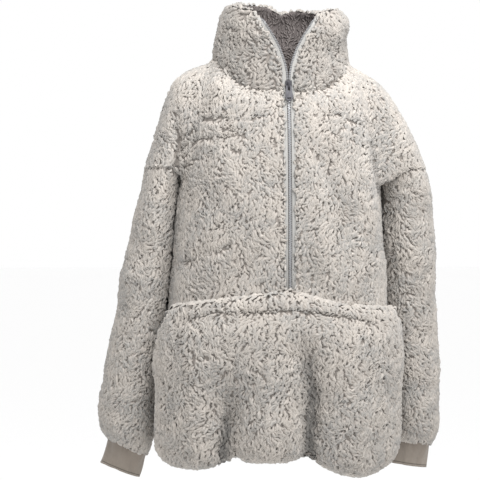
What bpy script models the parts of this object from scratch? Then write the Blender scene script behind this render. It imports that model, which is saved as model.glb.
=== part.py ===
"""Half-zip pullover in curly pile fleece, with a stand collar, drop shoulders and a kangaroo pocket.

The garment is hollow and keeps the shape it has when worn. Lengths are in metres. +Z is up, the
front faces -Y, the wearer's right sleeve is at -X, and the origin is the middle of the neck at the
height where the collar meets the shoulders.
"""

import math
from collections import namedtuple

import bmesh
import bpy
from mathutils import Matrix, Vector

# Cloth thicknesses and gaps. The fleece wall is its knitted back and its pile, out to the tips.
FLEECE = 0.010
POCKET_FLEECE = 0.009
JERSEY = 0.0025
LINING = 0.003
SEAM_GAP = 0.0003
LAID_GAP = 0.0009
POCKET_GAP = 0.0022

# Heights of the main lines of the garment.
ARMHOLE_Z = -0.175
NECK_FRONT_Z = -0.048
NECK_SIDE_Z = 0.014
NECK_BACK_Z = 0.022
ZIP_END_Z = -0.384
HEM_Z = -0.633

# The torso's sections are superellipses about this line.
TORSO_Y = -0.010
ROUNDNESS = 2.35
BLEND_POWER = 16
MISS_FADE = 4.0

# The open slit in the front that the zip fills.
SLIT_HALF = 0.0115

# The neck opening, measured to the outside of the cloth.
NECK_CLOSING = 0.84
NECK_HALF_WIDTH = 0.118
NECK_FRONT = 0.111
NECK_BACK = 0.088

# Rows of points up the body, and round the sleeves and collar.
SKIRT_ROWS = 8
CHEST_ROWS = 7
UPPER_SHARES = (0.16, 0.31, 0.45, 0.58, 0.70, 0.81, 0.89, 0.95, 1.0)
SLEEVE_RINGS = 15
COLLAR_STEPS = 6

# Columns round the body: the front arcs, the sides between the sleeve creases, and the back arc.
FRONT_STEPS = 12
SIDE_STEPS = 8
BACK_STEPS = 16
CREASE_TURN = 104.0

Torso = namedtuple("Torso", "z shift half_width front back")
TORSO_ROWS = (
    Torso(0.022, 0.000, 0.112, 0.088, 0.078),
    Torso(-0.020, 0.000, 0.134, 0.104, 0.100),
    Torso(-0.048, 0.000, 0.146, 0.112, 0.111),
    Torso(-0.090, 0.000, 0.158, 0.121, 0.119),
    Torso(-0.130, 0.000, 0.166, 0.127, 0.124),
    Torso(-0.175, 0.000, 0.171, 0.131, 0.126),
    Torso(-0.240, -0.001, 0.178, 0.134, 0.126),
    Torso(-0.320, -0.002, 0.183, 0.136, 0.125),
    Torso(-0.400, -0.004, 0.188, 0.137, 0.125),
    Torso(-0.480, -0.007, 0.192, 0.137, 0.127),
    Torso(-0.560, -0.010, 0.197, 0.136, 0.130),
    Torso(-0.640, -0.012, 0.199, 0.133, 0.130),
)

# The shoulders, above the armhole seam: the outermost point of each arm and its thickness.
Shoulder = namedtuple("Shoulder", "z right_x left_x half_width half_depth y")
SHOULDER_ROWS = (
    Shoulder(0.022, 0.112, 0.112, 0.020, 0.022, 0.004),
    Shoulder(0.000, 0.166, 0.140, 0.034, 0.036, 0.005),
    Shoulder(-0.014, 0.178, 0.161, 0.038, 0.046, 0.006),
    Shoulder(-0.028, 0.186, 0.179, 0.040, 0.053, 0.007),
    Shoulder(-0.056, 0.199, 0.201, 0.040, 0.060, 0.009),
    Shoulder(-0.084, 0.208, 0.219, 0.041, 0.063, 0.011),
    Shoulder(-0.112, 0.216, 0.235, 0.042, 0.065, 0.013),
    Shoulder(-0.145, 0.225, 0.250, 0.043, 0.066, 0.015),
    Shoulder(-0.175, 0.235, 0.262, 0.044, 0.066, 0.017),
)

# The sleeves below it, which hang just clear of the torso. A section tilts where the sleeve turns
# into its cuff.
Sleeve = namedtuple("Sleeve", "z outer_x clear y half_depth tilt")
RIGHT_SLEEVE_ROWS = (
    Sleeve(-0.175, 0.235, 0.001, 0.017, 0.066, 0),
    Sleeve(-0.205, 0.241, 0.001, 0.018, 0.067, 0),
    Sleeve(-0.260, 0.255, 0.001, 0.020, 0.067, 0),
    Sleeve(-0.330, 0.270, 0.001, 0.023, 0.066, 0),
    Sleeve(-0.406, 0.284, 0.001, 0.027, 0.065, 0),
    Sleeve(-0.480, 0.297, 0.002, 0.030, 0.065, 2),
    Sleeve(-0.550, 0.310, 0.004, 0.033, 0.066, 5),
    Sleeve(-0.600, 0.317, 0.006, 0.034, 0.067, 9),
    Sleeve(-0.632, 0.317, 0.009, 0.034, 0.064, 14),
    Sleeve(-0.652, 0.309, 0.012, 0.033, 0.052, 19),
    Sleeve(-0.661, 0.300, 0.018, 0.032, 0.036, 22),
)
LEFT_SLEEVE_ROWS = (
    Sleeve(-0.175, 0.262, 0.001, 0.017, 0.066, 0),
    Sleeve(-0.205, 0.273, 0.001, 0.020, 0.067, 0),
    Sleeve(-0.260, 0.279, 0.001, 0.026, 0.066, 0),
    Sleeve(-0.330, 0.283, 0.001, 0.032, 0.065, 0),
    Sleeve(-0.406, 0.286, 0.002, 0.037, 0.064, 0),
    Sleeve(-0.480, 0.291, 0.004, 0.041, 0.064, 0),
    Sleeve(-0.550, 0.295, 0.006, 0.044, 0.064, -1),
    Sleeve(-0.600, 0.295, 0.007, 0.045, 0.064, -2),
    Sleeve(-0.632, 0.294, 0.010, 0.045, 0.062, -4),
    Sleeve(-0.652, 0.287, 0.016, 0.044, 0.050, -7),
    Sleeve(-0.661, 0.279, 0.022, 0.043, 0.036, -9),
)

# The bloused bottom edge: how far in and how far down the cloth has rolled, below HEM_Z.
Roll = namedtuple("Roll", "inward down")
HEM_ROLL = (
    Roll(0.0010, 0.010),
    Roll(0.0060, 0.019),
    Roll(0.0150, 0.0245),
    Roll(0.0250, 0.0225),
    Roll(0.0310, 0.0140),
    Roll(0.0330, 0.0030),
)

# The lobes between the folds of the bottom edge hang lower, on the front and on the back.
Lobe = namedtuple("Lobe", "x half_width drop")
FRONT_LOBES = (
    Lobe(-0.165, 0.055, 0.014),
    Lobe(-0.035, 0.050, -0.001),
    Lobe(0.125, 0.060, 0.031),
)
BACK_LOBES = (
    Lobe(-0.150, 0.050, 0.012),
    Lobe(-0.070, 0.040, 0.010),
    Lobe(0.030, 0.050, 0.014),
    Lobe(0.140, 0.050, 0.016),
)

VALLEY_DROP = 0.45

# Soft folds. A front or back fold is a straight line seen from the front, in x and z.
Fold = namedtuple("Fold", "x1 z1 x2 z2 half_width depth")
FRONT_FOLDS = (
    Fold(-0.098, -0.520, -0.101, -0.700, 0.020, 0.020),
    Fold(0.018, -0.430, 0.034, -0.700, 0.019, 0.021),
    Fold(-0.040, -0.560, -0.038, -0.690, 0.030, -0.006),
    Fold(0.108, -0.540, 0.108, -0.690, 0.034, -0.006),
    Fold(-0.165, -0.540, -0.168, -0.690, 0.028, -0.004),
    Fold(0.022, -0.330, 0.028, -0.410, 0.016, 0.009),
    Fold(0.045, -0.110, 0.090, -0.215, 0.022, 0.006),
    Fold(0.090, -0.215, 0.092, -0.330, 0.022, 0.006),
    Fold(0.135, -0.130, 0.140, -0.300, 0.022, -0.004),
    Fold(0.058, -0.240, 0.070, -0.400, 0.018, -0.005),
    Fold(-0.150, -0.200, -0.075, -0.290, 0.020, 0.005),
    Fold(-0.060, -0.330, -0.150, -0.400, 0.022, 0.006),
    Fold(-0.110, -0.120, -0.120, -0.240, 0.026, -0.004),
    Fold(-0.045, -0.200, -0.060, -0.330, 0.024, -0.004),
)
BACK_FOLDS = (
    Fold(-0.110, -0.500, -0.120, -0.700, 0.022, 0.014),
    Fold(-0.020, -0.470, -0.030, -0.700, 0.022, 0.016),
    Fold(0.080, -0.510, 0.090, -0.700, 0.020, 0.014),
    Fold(-0.068, -0.540, -0.072, -0.690, 0.028, -0.005),
    Fold(0.030, -0.540, 0.030, -0.690, 0.030, -0.005),
    Fold(-0.130, -0.170, -0.050, -0.290, 0.024, 0.007),
    Fold(0.130, -0.160, 0.060, -0.300, 0.024, 0.008),
    Fold(0.140, -0.300, 0.110, -0.440, 0.022, 0.006),
    Fold(-0.145, -0.320, -0.105, -0.450, 0.022, 0.006),
    Fold(0.000, -0.120, 0.000, -0.380, 0.040, -0.004),
)
# A sleeve fold runs round the arm: its height, its middle and half its length as turns from the
# outermost line, where the front is negative.
Wrinkle = namedtuple("Wrinkle", "z turn half_turn half_height depth")
RIGHT_WRINKLES = (
    Wrinkle(-0.222, -40, 60, 0.011, 0.006),
    Wrinkle(-0.258, 120, 60, 0.012, 0.006),
    Wrinkle(-0.330, -75, 45, 0.014, 0.005),
    Wrinkle(-0.372, 60, 50, 0.013, 0.006),
    Wrinkle(-0.455, -20, 55, 0.015, 0.004),
    Wrinkle(-0.520, 110, 60, 0.013, 0.006),
    Wrinkle(-0.585, -60, 50, 0.012, 0.005),
    Wrinkle(-0.622, 40, 60, 0.010, 0.005),
)
LEFT_WRINKLES = (
    Wrinkle(-0.232, -50, 55, 0.012, 0.006),
    Wrinkle(-0.280, 100, 60, 0.012, 0.006),
    Wrinkle(-0.345, -30, 50, 0.014, 0.005),
    Wrinkle(-0.395, 70, 50, 0.013, 0.006),
    Wrinkle(-0.470, -60, 50, 0.014, 0.005),
    Wrinkle(-0.545, 90, 60, 0.013, 0.005),
    Wrinkle(-0.600, -20, 55, 0.011, 0.005),
    Wrinkle(-0.628, 60, 60, 0.010, 0.005),
)

# The stand collar: how far it leans out on each side, from its seam (0) to its top edge (1).
Collar = namedtuple("Collar", "up right left front back")
COLLAR_ROWS = (
    Collar(0.00, 0.118, 0.118, 0.111, 0.088),
    Collar(0.20, 0.119, 0.113, 0.109, 0.091),
    Collar(0.45, 0.112, 0.114, 0.109, 0.093),
    Collar(0.70, 0.108, 0.120, 0.110, 0.095),
    Collar(0.88, 0.104, 0.117, 0.109, 0.094),
    Collar(1.00, 0.096, 0.101, 0.104, 0.090),
)
COLLAR_OPEN_TURN = 38.0
COLLAR_OPENING = 2.2
COLLAR_TOP_FRONT_Z = 0.088
COLLAR_TOP_SIDE_Z = 0.103
COLLAR_TOP_BACK_Z = 0.116
COLLAR_TOP_LEAN = 0.005
COLLAR_TOP_DIP = 0.011
COLLAR_DIP_AT = 83.0
COLLAR_DIP_TURN = 9.0

# The kangaroo pocket. Its sides are cut in at the top for the hands. An edge row gives how far
# round the front each side reaches, from the middle (0) to the side seam (1).
PocketEdge = namedtuple("PocketEdge", "z right left")
POCKET_EDGES = (
    PocketEdge(-0.398, 0.660, 0.690),
    PocketEdge(-0.440, 0.730, 0.760),
    PocketEdge(-0.490, 0.810, 0.840),
    PocketEdge(-0.540, 0.850, 0.880),
    PocketEdge(-0.600, 0.860, 0.890),
    PocketEdge(-0.665, 0.860, 0.890),
)
PocketTop = namedtuple("PocketTop", "across z")
POCKET_TOP = (
    PocketTop(-1.0, -0.414),
    PocketTop(-0.6, -0.403),
    PocketTop(-0.25, -0.394),
    PocketTop(0.0, -0.388),
    PocketTop(0.2, -0.394),
    PocketTop(0.45, -0.407),
    PocketTop(1.0, -0.416),
)
POCKET_COLUMNS = 26
POCKET_ROWS = 12
POCKET_ROOM = 0.015
POCKET_MOUTH = 0.011
POCKET_MOUTH_END_Z = -0.555
POCKET_HEM = 0.018
POCKET_HEM_RISE = 0.0035

# Cuffs and hem band, in smooth jersey.
CUFF_LENGTH = 0.044
CUFF_END_HALF_WIDTH = 0.036
CUFF_END_HALF_DEPTH = 0.024
CUFF_RINGS = 4
BAND_HEIGHT = 0.026
BAND_LEAN = 0.001
BAND_ROWS = 3

# The zip: its tapes lie in the slit, below the tips of the pile, with the chain between them.
TAPE = 0.0012
TAPE_SINK = 0.0050
TAPE_TOP_Z = 0.074
TAPE_GAP = 0.0008
ZIP_END_GAP = 0.0006
CHAIN_HALF = 0.0030
CHAIN_THICK = 0.0030
OPEN_CHAIN = 0.0022
SLIDER_Z = -0.041
SLIDER_LENGTH = 0.0150
SLIDER_WIDTH = 0.0110
SLIDER_THICK = 0.0078
GROOVE_GAP = 0.0014
SLIDER_MOUTH = 0.0010

# The slider's lug and the pull tab that swings on its bar. The swing is the bar's half diagonal.
LUG_LENGTH = 0.0100
LUG_WIDTH = 0.0028
LUG_BAR = 0.0013
LUG_ROOT = 0.0008
PULL_LENGTH = 0.0270
PULL_TOP_HALF = 0.0046
PULL_END_HALF = 0.0068
PULL_THICK = 0.0014
PULL_BAR = 0.0016
PULL_SWING = 0.0011
PULL_WINDOW_HALF = 0.0020
PULL_WINDOW = 0.0086
PULL_SLOT_HALF = 0.0032
PULL_SLOT = 0.0030
PULL_MARGIN = 0.0032

# Colours are linear.
PILE_COLOUR = (0.560, 0.510, 0.460)
LINING_COLOUR = (0.160, 0.130, 0.120)
JERSEY_COLOUR = (0.300, 0.265, 0.225)
TAPE_COLOUR = (0.560, 0.540, 0.510)
METAL_COLOUR = (0.150, 0.150, 0.160)
CHAIN_COLOUR = (0.550, 0.550, 0.560)


def clear_scene():
    for obj in list(bpy.data.objects):
        bpy.data.objects.remove(obj, do_unlink=True)


def material(name, colour, roughness, metallic=0.0):
    found = bpy.data.materials.get(name)
    if found:
        return found
    made = bpy.data.materials.new(name)
    made.use_nodes = True
    shader = made.node_tree.nodes["Principled BSDF"]
    shader.inputs["Base Color"].default_value = (*colour, 1.0)
    shader.inputs["Roughness"].default_value = roughness
    shader.inputs["Metallic"].default_value = metallic
    made.diffuse_color = (*colour, 1.0)
    return made


def smooth(value):
    value = min(1.0, max(0.0, value))
    return value * value * (3.0 - 2.0 * value)


def mix(a, b, share):
    return a + (b - a) * share


def along(rows, key, place, column):
    """A column of a table at a place between its rows, on a smooth curve through them."""
    rows = sorted(rows, key=lambda row: getattr(row, key))
    places = [getattr(row, key) for row in rows]
    values = [getattr(row, column) for row in rows]
    place = min(places[-1], max(places[0], place))
    i = max(k for k in range(len(rows) - 1) if places[k] <= place)

    def slope(k):
        if k == 0 or k == len(rows) - 1:
            near = 1 if k == 0 else len(rows) - 2
            return (values[near] - values[k]) / (places[near] - places[k])
        before = (values[k] - values[k - 1]) / (places[k] - places[k - 1])
        after = (values[k + 1] - values[k]) / (places[k + 1] - places[k])
        return 0.0 if before * after <= 0.0 else 2.0 * before * after / (before + after)

    width = places[i + 1] - places[i]
    t = (place - places[i]) / width
    start = (1 + 2 * t) * (1 - t) ** 2 * values[i] + t * (1 - t) ** 2 * width * slope(i)
    end = t * t * (3 - 2 * t) * values[i + 1] + t * t * (t - 1) * width * slope(i + 1)
    return start + end


def superellipse(turn, half_width, front, back):
    """Radius of a rounded oblong section at a turn in degrees, where -90 is the front."""
    c, s = math.cos(math.radians(turn)), math.sin(math.radians(turn))
    depth = front if s < 0 else back
    total = (abs(c) / half_width) ** ROUNDNESS + (abs(s) / depth) ** ROUNDNESS
    return total ** (-1.0 / ROUNDNESS)


def fold_depth(folds, x, z):
    """How far the soft folds near a point push the cloth in."""
    total = 0.0
    for fold in folds:
        dx, dz = fold.x2 - fold.x1, fold.z2 - fold.z1
        share = ((x - fold.x1) * dx + (z - fold.z1) * dz) / (dx * dx + dz * dz)
        held = min(1.0, max(0.0, share))
        gap = math.hypot(x - fold.x1 - held * dx, z - fold.z1 - held * dz)
        fade = smooth(share * 2.5 + 0.15) * smooth((1.0 - share) * 2.5 + 0.15)
        total += fold.depth * fade * math.exp(-((gap / fold.half_width) ** 2))
    return total


def torso_radius(turn, z):
    row = {c: along(TORSO_ROWS, "z", z, c) for c in ("half_width", "front", "back")}
    return superellipse(turn, **row)


def with_folds(turn, radius, z):
    """A point of the body at a turn and radius, with the folds of that side pressed in."""
    c, s = math.cos(math.radians(turn)), math.sin(math.radians(turn))
    shift = along(TORSO_ROWS, "z", z, "shift")
    x = shift + radius * c
    facing = smooth(abs(s) * 1.6 - 0.25)
    folds = FRONT_FOLDS if s < 0 else BACK_FOLDS
    radius -= facing * fold_depth(folds, x, z)
    return Vector((shift + radius * c, TORSO_Y + radius * s, z))


def shoulder_ellipse(z, side):
    """Centre and half sizes of an arm's section above the armhole. Side is -1 or 1."""
    row = {c: along(SHOULDER_ROWS, "z", z, c) for c in Shoulder._fields[1:]}
    outer = row["right_x"] if side < 0 else row["left_x"]
    return outer - row["half_width"], row["y"], row["half_width"], row["half_depth"]


def side_turns(z, side):
    """Turns, from the side's own outward line and with the front negative, of the side columns."""
    x, y, half_width, half_depth = shoulder_ellipse(z, side)
    turns = []
    for j in range(SIDE_STEPS + 1):
        a = math.radians(mix(-CREASE_TURN, CREASE_TURN, j / SIDE_STEPS))
        px, py = x + half_width * math.cos(a), y + half_depth * math.sin(a)
        turns.append(math.degrees(math.atan2(py - TORSO_Y, px)))
    return turns


def ray_to_ellipse(turn, x, y, half_width, half_depth):
    """Distance from the torso's line to the far side of an ellipse, fading where the line misses it."""
    c, s = math.cos(math.radians(turn)), math.sin(math.radians(turn))
    dx, dy = c / half_width, s / half_depth
    cx, cy = x / half_width, (y - TORSO_Y) / half_depth
    a, b = dx * dx + dy * dy, dx * cx + dy * cy
    passing = math.sqrt(max(0.0, cx * cx + cy * cy - b * b / a))
    if passing < 1.0:
        return (b + math.sqrt(a) * math.sqrt(1.0 - passing * passing)) / a
    return b / a * math.exp(-MISS_FADE * (passing - 1.0))


def column_turns(z):
    """The turn of each column round the body, from the zip's left edge round to its right edge."""
    z = max(z, ARMHOLE_Z)
    front = along(TORSO_ROWS, "z", z, "front")
    middle = math.degrees(math.atan2(SLIT_HALF, front))
    left, right = side_turns(z, 1), side_turns(z, -1)
    turns = [mix(-90 + middle, left[0], i / FRONT_STEPS) for i in range(FRONT_STEPS)]
    turns += left[:-1]
    back_end = 180 - right[-1]
    turns += [mix(left[-1], back_end, i / BACK_STEPS) for i in range(BACK_STEPS)]
    turns += [180 - t for t in reversed(right[1:])]
    start, end = 180 - right[0], 270 - middle
    turns += [mix(start, end, i / FRONT_STEPS) for i in range(FRONT_STEPS + 1)]
    return turns


LEFT_SIDE = range(FRONT_STEPS, FRONT_STEPS + SIDE_STEPS + 1)
RIGHT_SIDE = range(LEFT_SIDE[-1] + BACK_STEPS, LEFT_SIDE[-1] + BACK_STEPS + SIDE_STEPS + 1)
COLUMNS = RIGHT_SIDE[-1] + FRONT_STEPS + 1
LEFT_SEAM = LEFT_SIDE[SIDE_STEPS // 2]
RIGHT_SEAM = RIGHT_SIDE[SIDE_STEPS // 2]


def merged_radius(turn, z):
    """The body's radius above the armhole, where the arms and the torso run into one another."""
    side = 1 if math.cos(math.radians(turn)) > 0 else -1
    outward = turn if side > 0 else 180 - turn
    arm = ray_to_ellipse(outward, *shoulder_ellipse(z, side))
    torso = torso_radius(turn, z)
    return (torso**BLEND_POWER + max(arm, 1e-6) ** BLEND_POWER) ** (1.0 / BLEND_POWER)


def neck_point(turn):
    s = math.sin(math.radians(turn))
    radius = superellipse_neck(turn)
    end = NECK_FRONT_Z if s < 0 else NECK_BACK_Z
    z = mix(NECK_SIDE_Z, end, smooth(abs(s)) ** 1.2)
    return radius, z


def superellipse_neck(turn):
    c, s = math.cos(math.radians(turn)), math.sin(math.radians(turn))
    depth = NECK_FRONT if s < 0 else NECK_BACK
    return ((c / NECK_HALF_WIDTH) ** 2 + (s / depth) ** 2) ** -0.5


def upper_point(turns, column, share):
    """A point between the armhole row (share 0) and the neck seam (share 1)."""
    radius_end, z_end = neck_point(turns[column])
    z = mix(ARMHOLE_Z, z_end, share)
    turn = column_turns(z)[column]
    radius = merged_radius(turn, z)
    closing = smooth((share - NECK_CLOSING) / (1.0 - NECK_CLOSING))
    radius = mix(radius, radius_end, closing)
    return with_folds(mix(turn, turns[column], closing), radius, z)


def lobe_drop(point):
    lobes = FRONT_LOBES if point.y < TORSO_Y else BACK_LOBES
    return sum(lobe.drop * math.exp(-(((point.x - lobe.x) / lobe.half_width) ** 2)) for lobe in lobes)


def hem_point(column, roll):
    """A point of the bloused bottom edge, which hangs lower in the lobes than in the folds."""
    turn = column_turns(HEM_Z)[column]
    flat = torso_radius(turn, HEM_Z)
    edge = with_folds(turn, flat, HEM_Z)
    pressed = flat - math.hypot(edge.x - along(TORSO_ROWS, "z", HEM_Z, "shift"), edge.y - TORSO_Y)
    c, s = math.cos(math.radians(turn)), math.sin(math.radians(turn))
    inward = roll.inward - 0.35 * pressed * smooth(roll.inward / 0.03)
    down = roll.down * mix(1.0, VALLEY_DROP, smooth(pressed / 0.018))
    down += lobe_drop(edge) * smooth(roll.down / 0.018)
    return Vector((edge.x - inward * c, edge.y - inward * s, HEM_Z - down))


def sleeve_ring(rows, wrinkles, side, z):
    """The points round a sleeve at a height, starting at the front crease and running outside."""
    outer, clear = (along(rows, "z", z, c) for c in ("outer_x", "clear"))
    shift, torso = (along(TORSO_ROWS, "z", z, c) for c in ("shift", "half_width"))
    inner = torso + side * shift + clear
    y, half_depth, tilt = (along(rows, "z", z, c) for c in ("y", "half_depth", "tilt"))
    middle, half_width = (outer + inner) / 2, (outer - inner) / 2
    points = []
    for j in range(2 * SIDE_STEPS):
        if j <= SIDE_STEPS:
            turn = mix(-CREASE_TURN, CREASE_TURN, j / SIDE_STEPS)
        else:
            turn = mix(CREASE_TURN, 360 - CREASE_TURN, (j - SIDE_STEPS) / SIDE_STEPS)
        away = 1.0 - sum(wrinkle_depth(w, turn, z) for w in wrinkles) / half_depth
        a = math.radians(turn)
        x = half_width * math.cos(a) * away
        drop = x * math.tan(math.radians(tilt))
        points.append(Vector((side * (middle + x), y + half_depth * math.sin(a) * away, z + drop)))
    return points


def wrinkle_depth(wrinkle, turn, z):
    off = (turn - wrinkle.turn + 180) % 360 - 180
    slant = wrinkle.z + 0.00018 * off
    fade = smooth(1.4 - abs(off) / wrinkle.half_turn)
    return wrinkle.depth * fade * math.exp(-(((z - slant) / wrinkle.half_height) ** 2))


class Shell:
    """The garment's outer surface as one mesh of points, which the pieces are cut from.

    The cut edges of the zip opening keep their wall square to the way across the opening.
    """

    def __init__(self):
        self.points = []
        self.faces = []
        self.pieces = []
        self.normals = []
        self.fixed = {}
        self.edges = {}

    def add(self, point):
        self.points.append(point)
        return len(self.points) - 1

    def quads(self, piece, lower, upper, closed=False):
        """Faces between two rows of point numbers, the columns running anticlockwise from above."""
        count = len(lower) if closed else len(lower) - 1
        for i in range(count):
            k = (i + 1) % len(lower)
            self.faces.append((lower[i], lower[k], upper[k], upper[i]))
            self.pieces.append(piece)

    def find_normals(self, passes=2):
        """Outward directions at the points, evened out so that the wall's inside stays plain."""
        mesh = bmesh.new()
        made = [mesh.verts.new(p) for p in self.points]
        for face in self.faces:
            mesh.faces.new([made[i] for i in face])
        mesh.normal_update()
        normals = [v.normal.copy() for v in made]
        mesh.verts.index_update()
        near = [[e.other_vert(v).index for e in v.link_edges] for v in made]
        mesh.free()
        for _ in range(passes):
            evened = []
            for i, normal in enumerate(normals):
                total = sum((normals[k] for k in near[i]), normal * 3.0)
                evened.append(self.fixed.get(i, total.normalized()))
            normals = evened
        for i, across in self.edges.items():
            normals[i] = (normals[i] - across * normals[i].dot(across)).normalized()
        self.normals = normals


def solid(name, points_out, points_in, faces, look, gap=SEAM_GAP / 2):
    """A closed wall between two like sheets of points, drawn in a little at its edges."""
    used = sorted({i for face in faces for i in face})
    sides = {}
    for face in faces:
        for a, b in zip(face, face[1:] + face[:1]):
            sides[(a, b)] = face
    rims = [(a, b) for (a, b) in sides if (b, a) not in sides]
    pull = {i: Vector() for edge in rims for i in edge}
    for a, b in rims:
        face = sides[(a, b)]
        middle = sum((points_out[i] for i in face), Vector()) / len(face)
        across = (points_out[a] - points_in[a]) + (points_out[b] - points_in[b])
        inward = (points_out[b] - points_out[a]).cross(across).normalized()
        if inward.dot(middle - (points_out[a] + points_out[b]) / 2) < 0:
            inward.negate()
        pull[a] += inward
        pull[b] += inward
    mesh = bmesh.new()
    outside, inside = {}, {}
    for i in used:
        move = pull[i].normalized() * gap if i in pull else Vector()
        outside[i] = mesh.verts.new(points_out[i] + move)
        inside[i] = mesh.verts.new(points_in[i] + move)
    for a, b, c, d in faces:
        for half in ((a, b, c), (a, c, d)):
            mesh.faces.new([outside[i] for i in half])
            mesh.faces.new([inside[i] for i in reversed(half)])
    for a, b in rims:
        first, last = min(a, b), max(a, b)
        ways = ((outside[first], outside[last], inside[last]), (outside[first], inside[last], inside[first]))
        for way in ways:
            mesh.faces.new(way if (a, b) == (last, first) else way[::-1])
    bmesh.ops.recalc_face_normals(mesh, faces=mesh.faces)
    return keep(name, mesh, look)


def keep(name, mesh, look, smooth_angle=40):
    data = bpy.data.meshes.new(name)
    mesh.to_mesh(data)
    mesh.free()
    data.shade_smooth()
    data.set_sharp_from_angle(angle=math.radians(smooth_angle))
    return place(bpy.data.objects.new(name, data), look)


def place(obj, look):
    obj.data.materials.append(look)
    bpy.data.collections["pullover"].objects.link(obj)
    return obj


def body_shell():
    """The torso, shoulders, collar and sleeves as one sheet, and the rows that other pieces need."""
    shell = Shell()
    rows = {}
    lower_z = [mix(HEM_Z, ZIP_END_Z, i / SKIRT_ROWS) for i in range(SKIRT_ROWS)]
    lower_z += [mix(ZIP_END_Z, ARMHOLE_Z, i / CHEST_ROWS) for i in range(CHEST_ROWS)]
    roll_rows = [[shell.add(hem_point(c, r)) for c in range(COLUMNS)] for r in reversed(HEM_ROLL)]
    torso_rows = list(roll_rows)
    for z in lower_z:
        turns = column_turns(z)
        ring = [shell.add(with_folds(t, torso_radius(t, z), z)) for t in turns]
        torso_rows.append(ring)
    arm_turns = column_turns(ARMHOLE_Z)
    top = [shell.add(upper_point(arm_turns, c, 0.0)) for c in range(COLUMNS)]
    sides = [(LEFT_SIDE, 1), (RIGHT_SIDE, -1)]
    under = list(top)
    for columns, side in sides:
        first, last = shell.points[top[columns[0]]], shell.points[top[columns[-1]]]
        for c in columns[1:-1]:
            share = (c - columns[0]) / SIDE_STEPS
            point = first.lerp(last, share)
            point.z += 0.010 * math.sin(math.pi * share)
            point.x = side * 0.1745
            under[c] = shell.add(point)
            shell.fixed[under[c]] = Vector((0, 0, -1))
    rows["torso"] = torso_rows
    rows["under"] = under
    for low, high in zip(torso_rows, torso_rows[1:] + [under]):
        panel_quads(shell, low, high, closed_front=lambda z: z < ZIP_END_Z + SEAM_GAP)
    neck_turns = column_turns(NECK_SIDE_Z)
    neck_turns[0] = -90 + math.degrees(math.asin(SLIT_HALF / NECK_FRONT))
    neck_turns[-1] = 270 - math.degrees(math.asin(SLIT_HALF / NECK_FRONT))
    upper = [top]
    for share in UPPER_SHARES:
        upper.append([shell.add(upper_point(neck_turns, c, share)) for c in range(COLUMNS)])
    for low, high in zip(upper, upper[1:]):
        panel_quads(shell, low, high, closed_front=lambda z: False)
    rows["upper"] = upper
    rows["collar"] = add_collar(shell, upper[-1], neck_turns)
    rows["right"] = add_sleeve(shell, "sleeve_right", RIGHT_SLEEVE_ROWS, RIGHT_WRINKLES, -1, top, under)
    rows["left"] = add_sleeve(shell, "sleeve_left", LEFT_SLEEVE_ROWS, LEFT_WRINKLES, 1, top, under)
    square_opening(shell, rows)
    shell.find_normals()
    return shell, rows


def opening_rows(rows):
    """The rows that end at the zip opening: those of the closed part, then those of the collar."""
    first = SKIRT_ROWS + len(HEM_ROLL)
    return rows["torso"][first:] + rows["upper"], rows["collar"][1:]


def square_opening(shell, rows):
    """Make the slit an even width up to the neck seam, and note the way across it everywhere."""
    straight, opened = opening_rows(rows)
    for end, beside, side in ((0, 1, 1), (-1, -2, -1)):
        for row in straight:
            shell.points[row[end]].x = side * SLIT_HALF
            shell.edges[row[end]] = Vector((-side, 0, 0))
        for row in opened:
            across = shell.points[row[end]] - shell.points[row[beside]]
            shell.edges[row[end]] = across.normalized()


def panel_quads(shell, low, high, closed_front):
    """One row of body faces: the front up to the side seams, and the back between them."""
    shell.quads("front", low[: LEFT_SEAM + 1], high[: LEFT_SEAM + 1])
    shell.quads("back", low[LEFT_SEAM : RIGHT_SEAM + 1], high[LEFT_SEAM : RIGHT_SEAM + 1])
    shell.quads("front", low[RIGHT_SEAM:], high[RIGHT_SEAM:])
    if closed_front(shell.points[high[0]].z):
        shell.quads("front", [low[-1], low[0]], [high[-1], high[0]])


def collar_top_z(turn):
    s = math.sin(math.radians(turn))
    if s < 0:
        return mix(COLLAR_TOP_SIDE_Z, COLLAR_TOP_FRONT_Z, smooth(abs(s) * 1.12) ** 1.6)
    dip = COLLAR_TOP_DIP * math.exp(-(((turn - COLLAR_DIP_AT) / COLLAR_DIP_TURN) ** 2))
    lean = COLLAR_TOP_LEAN * math.sin(2 * math.radians(turn))
    return mix(COLLAR_TOP_SIDE_Z, COLLAR_TOP_BACK_Z, smooth(s)) - dip - lean


def add_collar(shell, seam, neck_turns):
    """The stand collar, which stands on the neck seam and falls open in front."""
    first, last = neck_turns[0], neck_turns[-1]
    rows = [seam]
    for k in range(1, COLLAR_STEPS + 1):
        up = k / COLLAR_STEPS
        right, left, front, back = (along(COLLAR_ROWS, "up", up, c) for c in Collar._fields[1:])
        ring = []
        for column, turn in enumerate(neck_turns):
            share = (turn - first) / (last - first)
            open_turn = mix(-90 + COLLAR_OPEN_TURN, 270 - COLLAR_OPEN_TURN, share)
            now = mix(turn, open_turn, up**COLLAR_OPENING)
            c, s = math.cos(math.radians(now)), math.sin(math.radians(now))
            half_width = left if c > 0 else right
            depth = front if s < 0 else back
            radius = ((c / half_width) ** 2 + (s / depth) ** 2) ** -0.5
            base = shell.points[seam[column]]
            z = mix(base.z, collar_top_z(now), up)
            goal = Vector((radius * c, TORSO_Y + radius * s, z))
            free = Vector((base.x, base.y, z))
            ring.append(shell.add(free.lerp(goal, smooth(up * 2.5))))
        shell.quads("collar", rows[-1], ring)
        rows.append(ring)
    return rows


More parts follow.
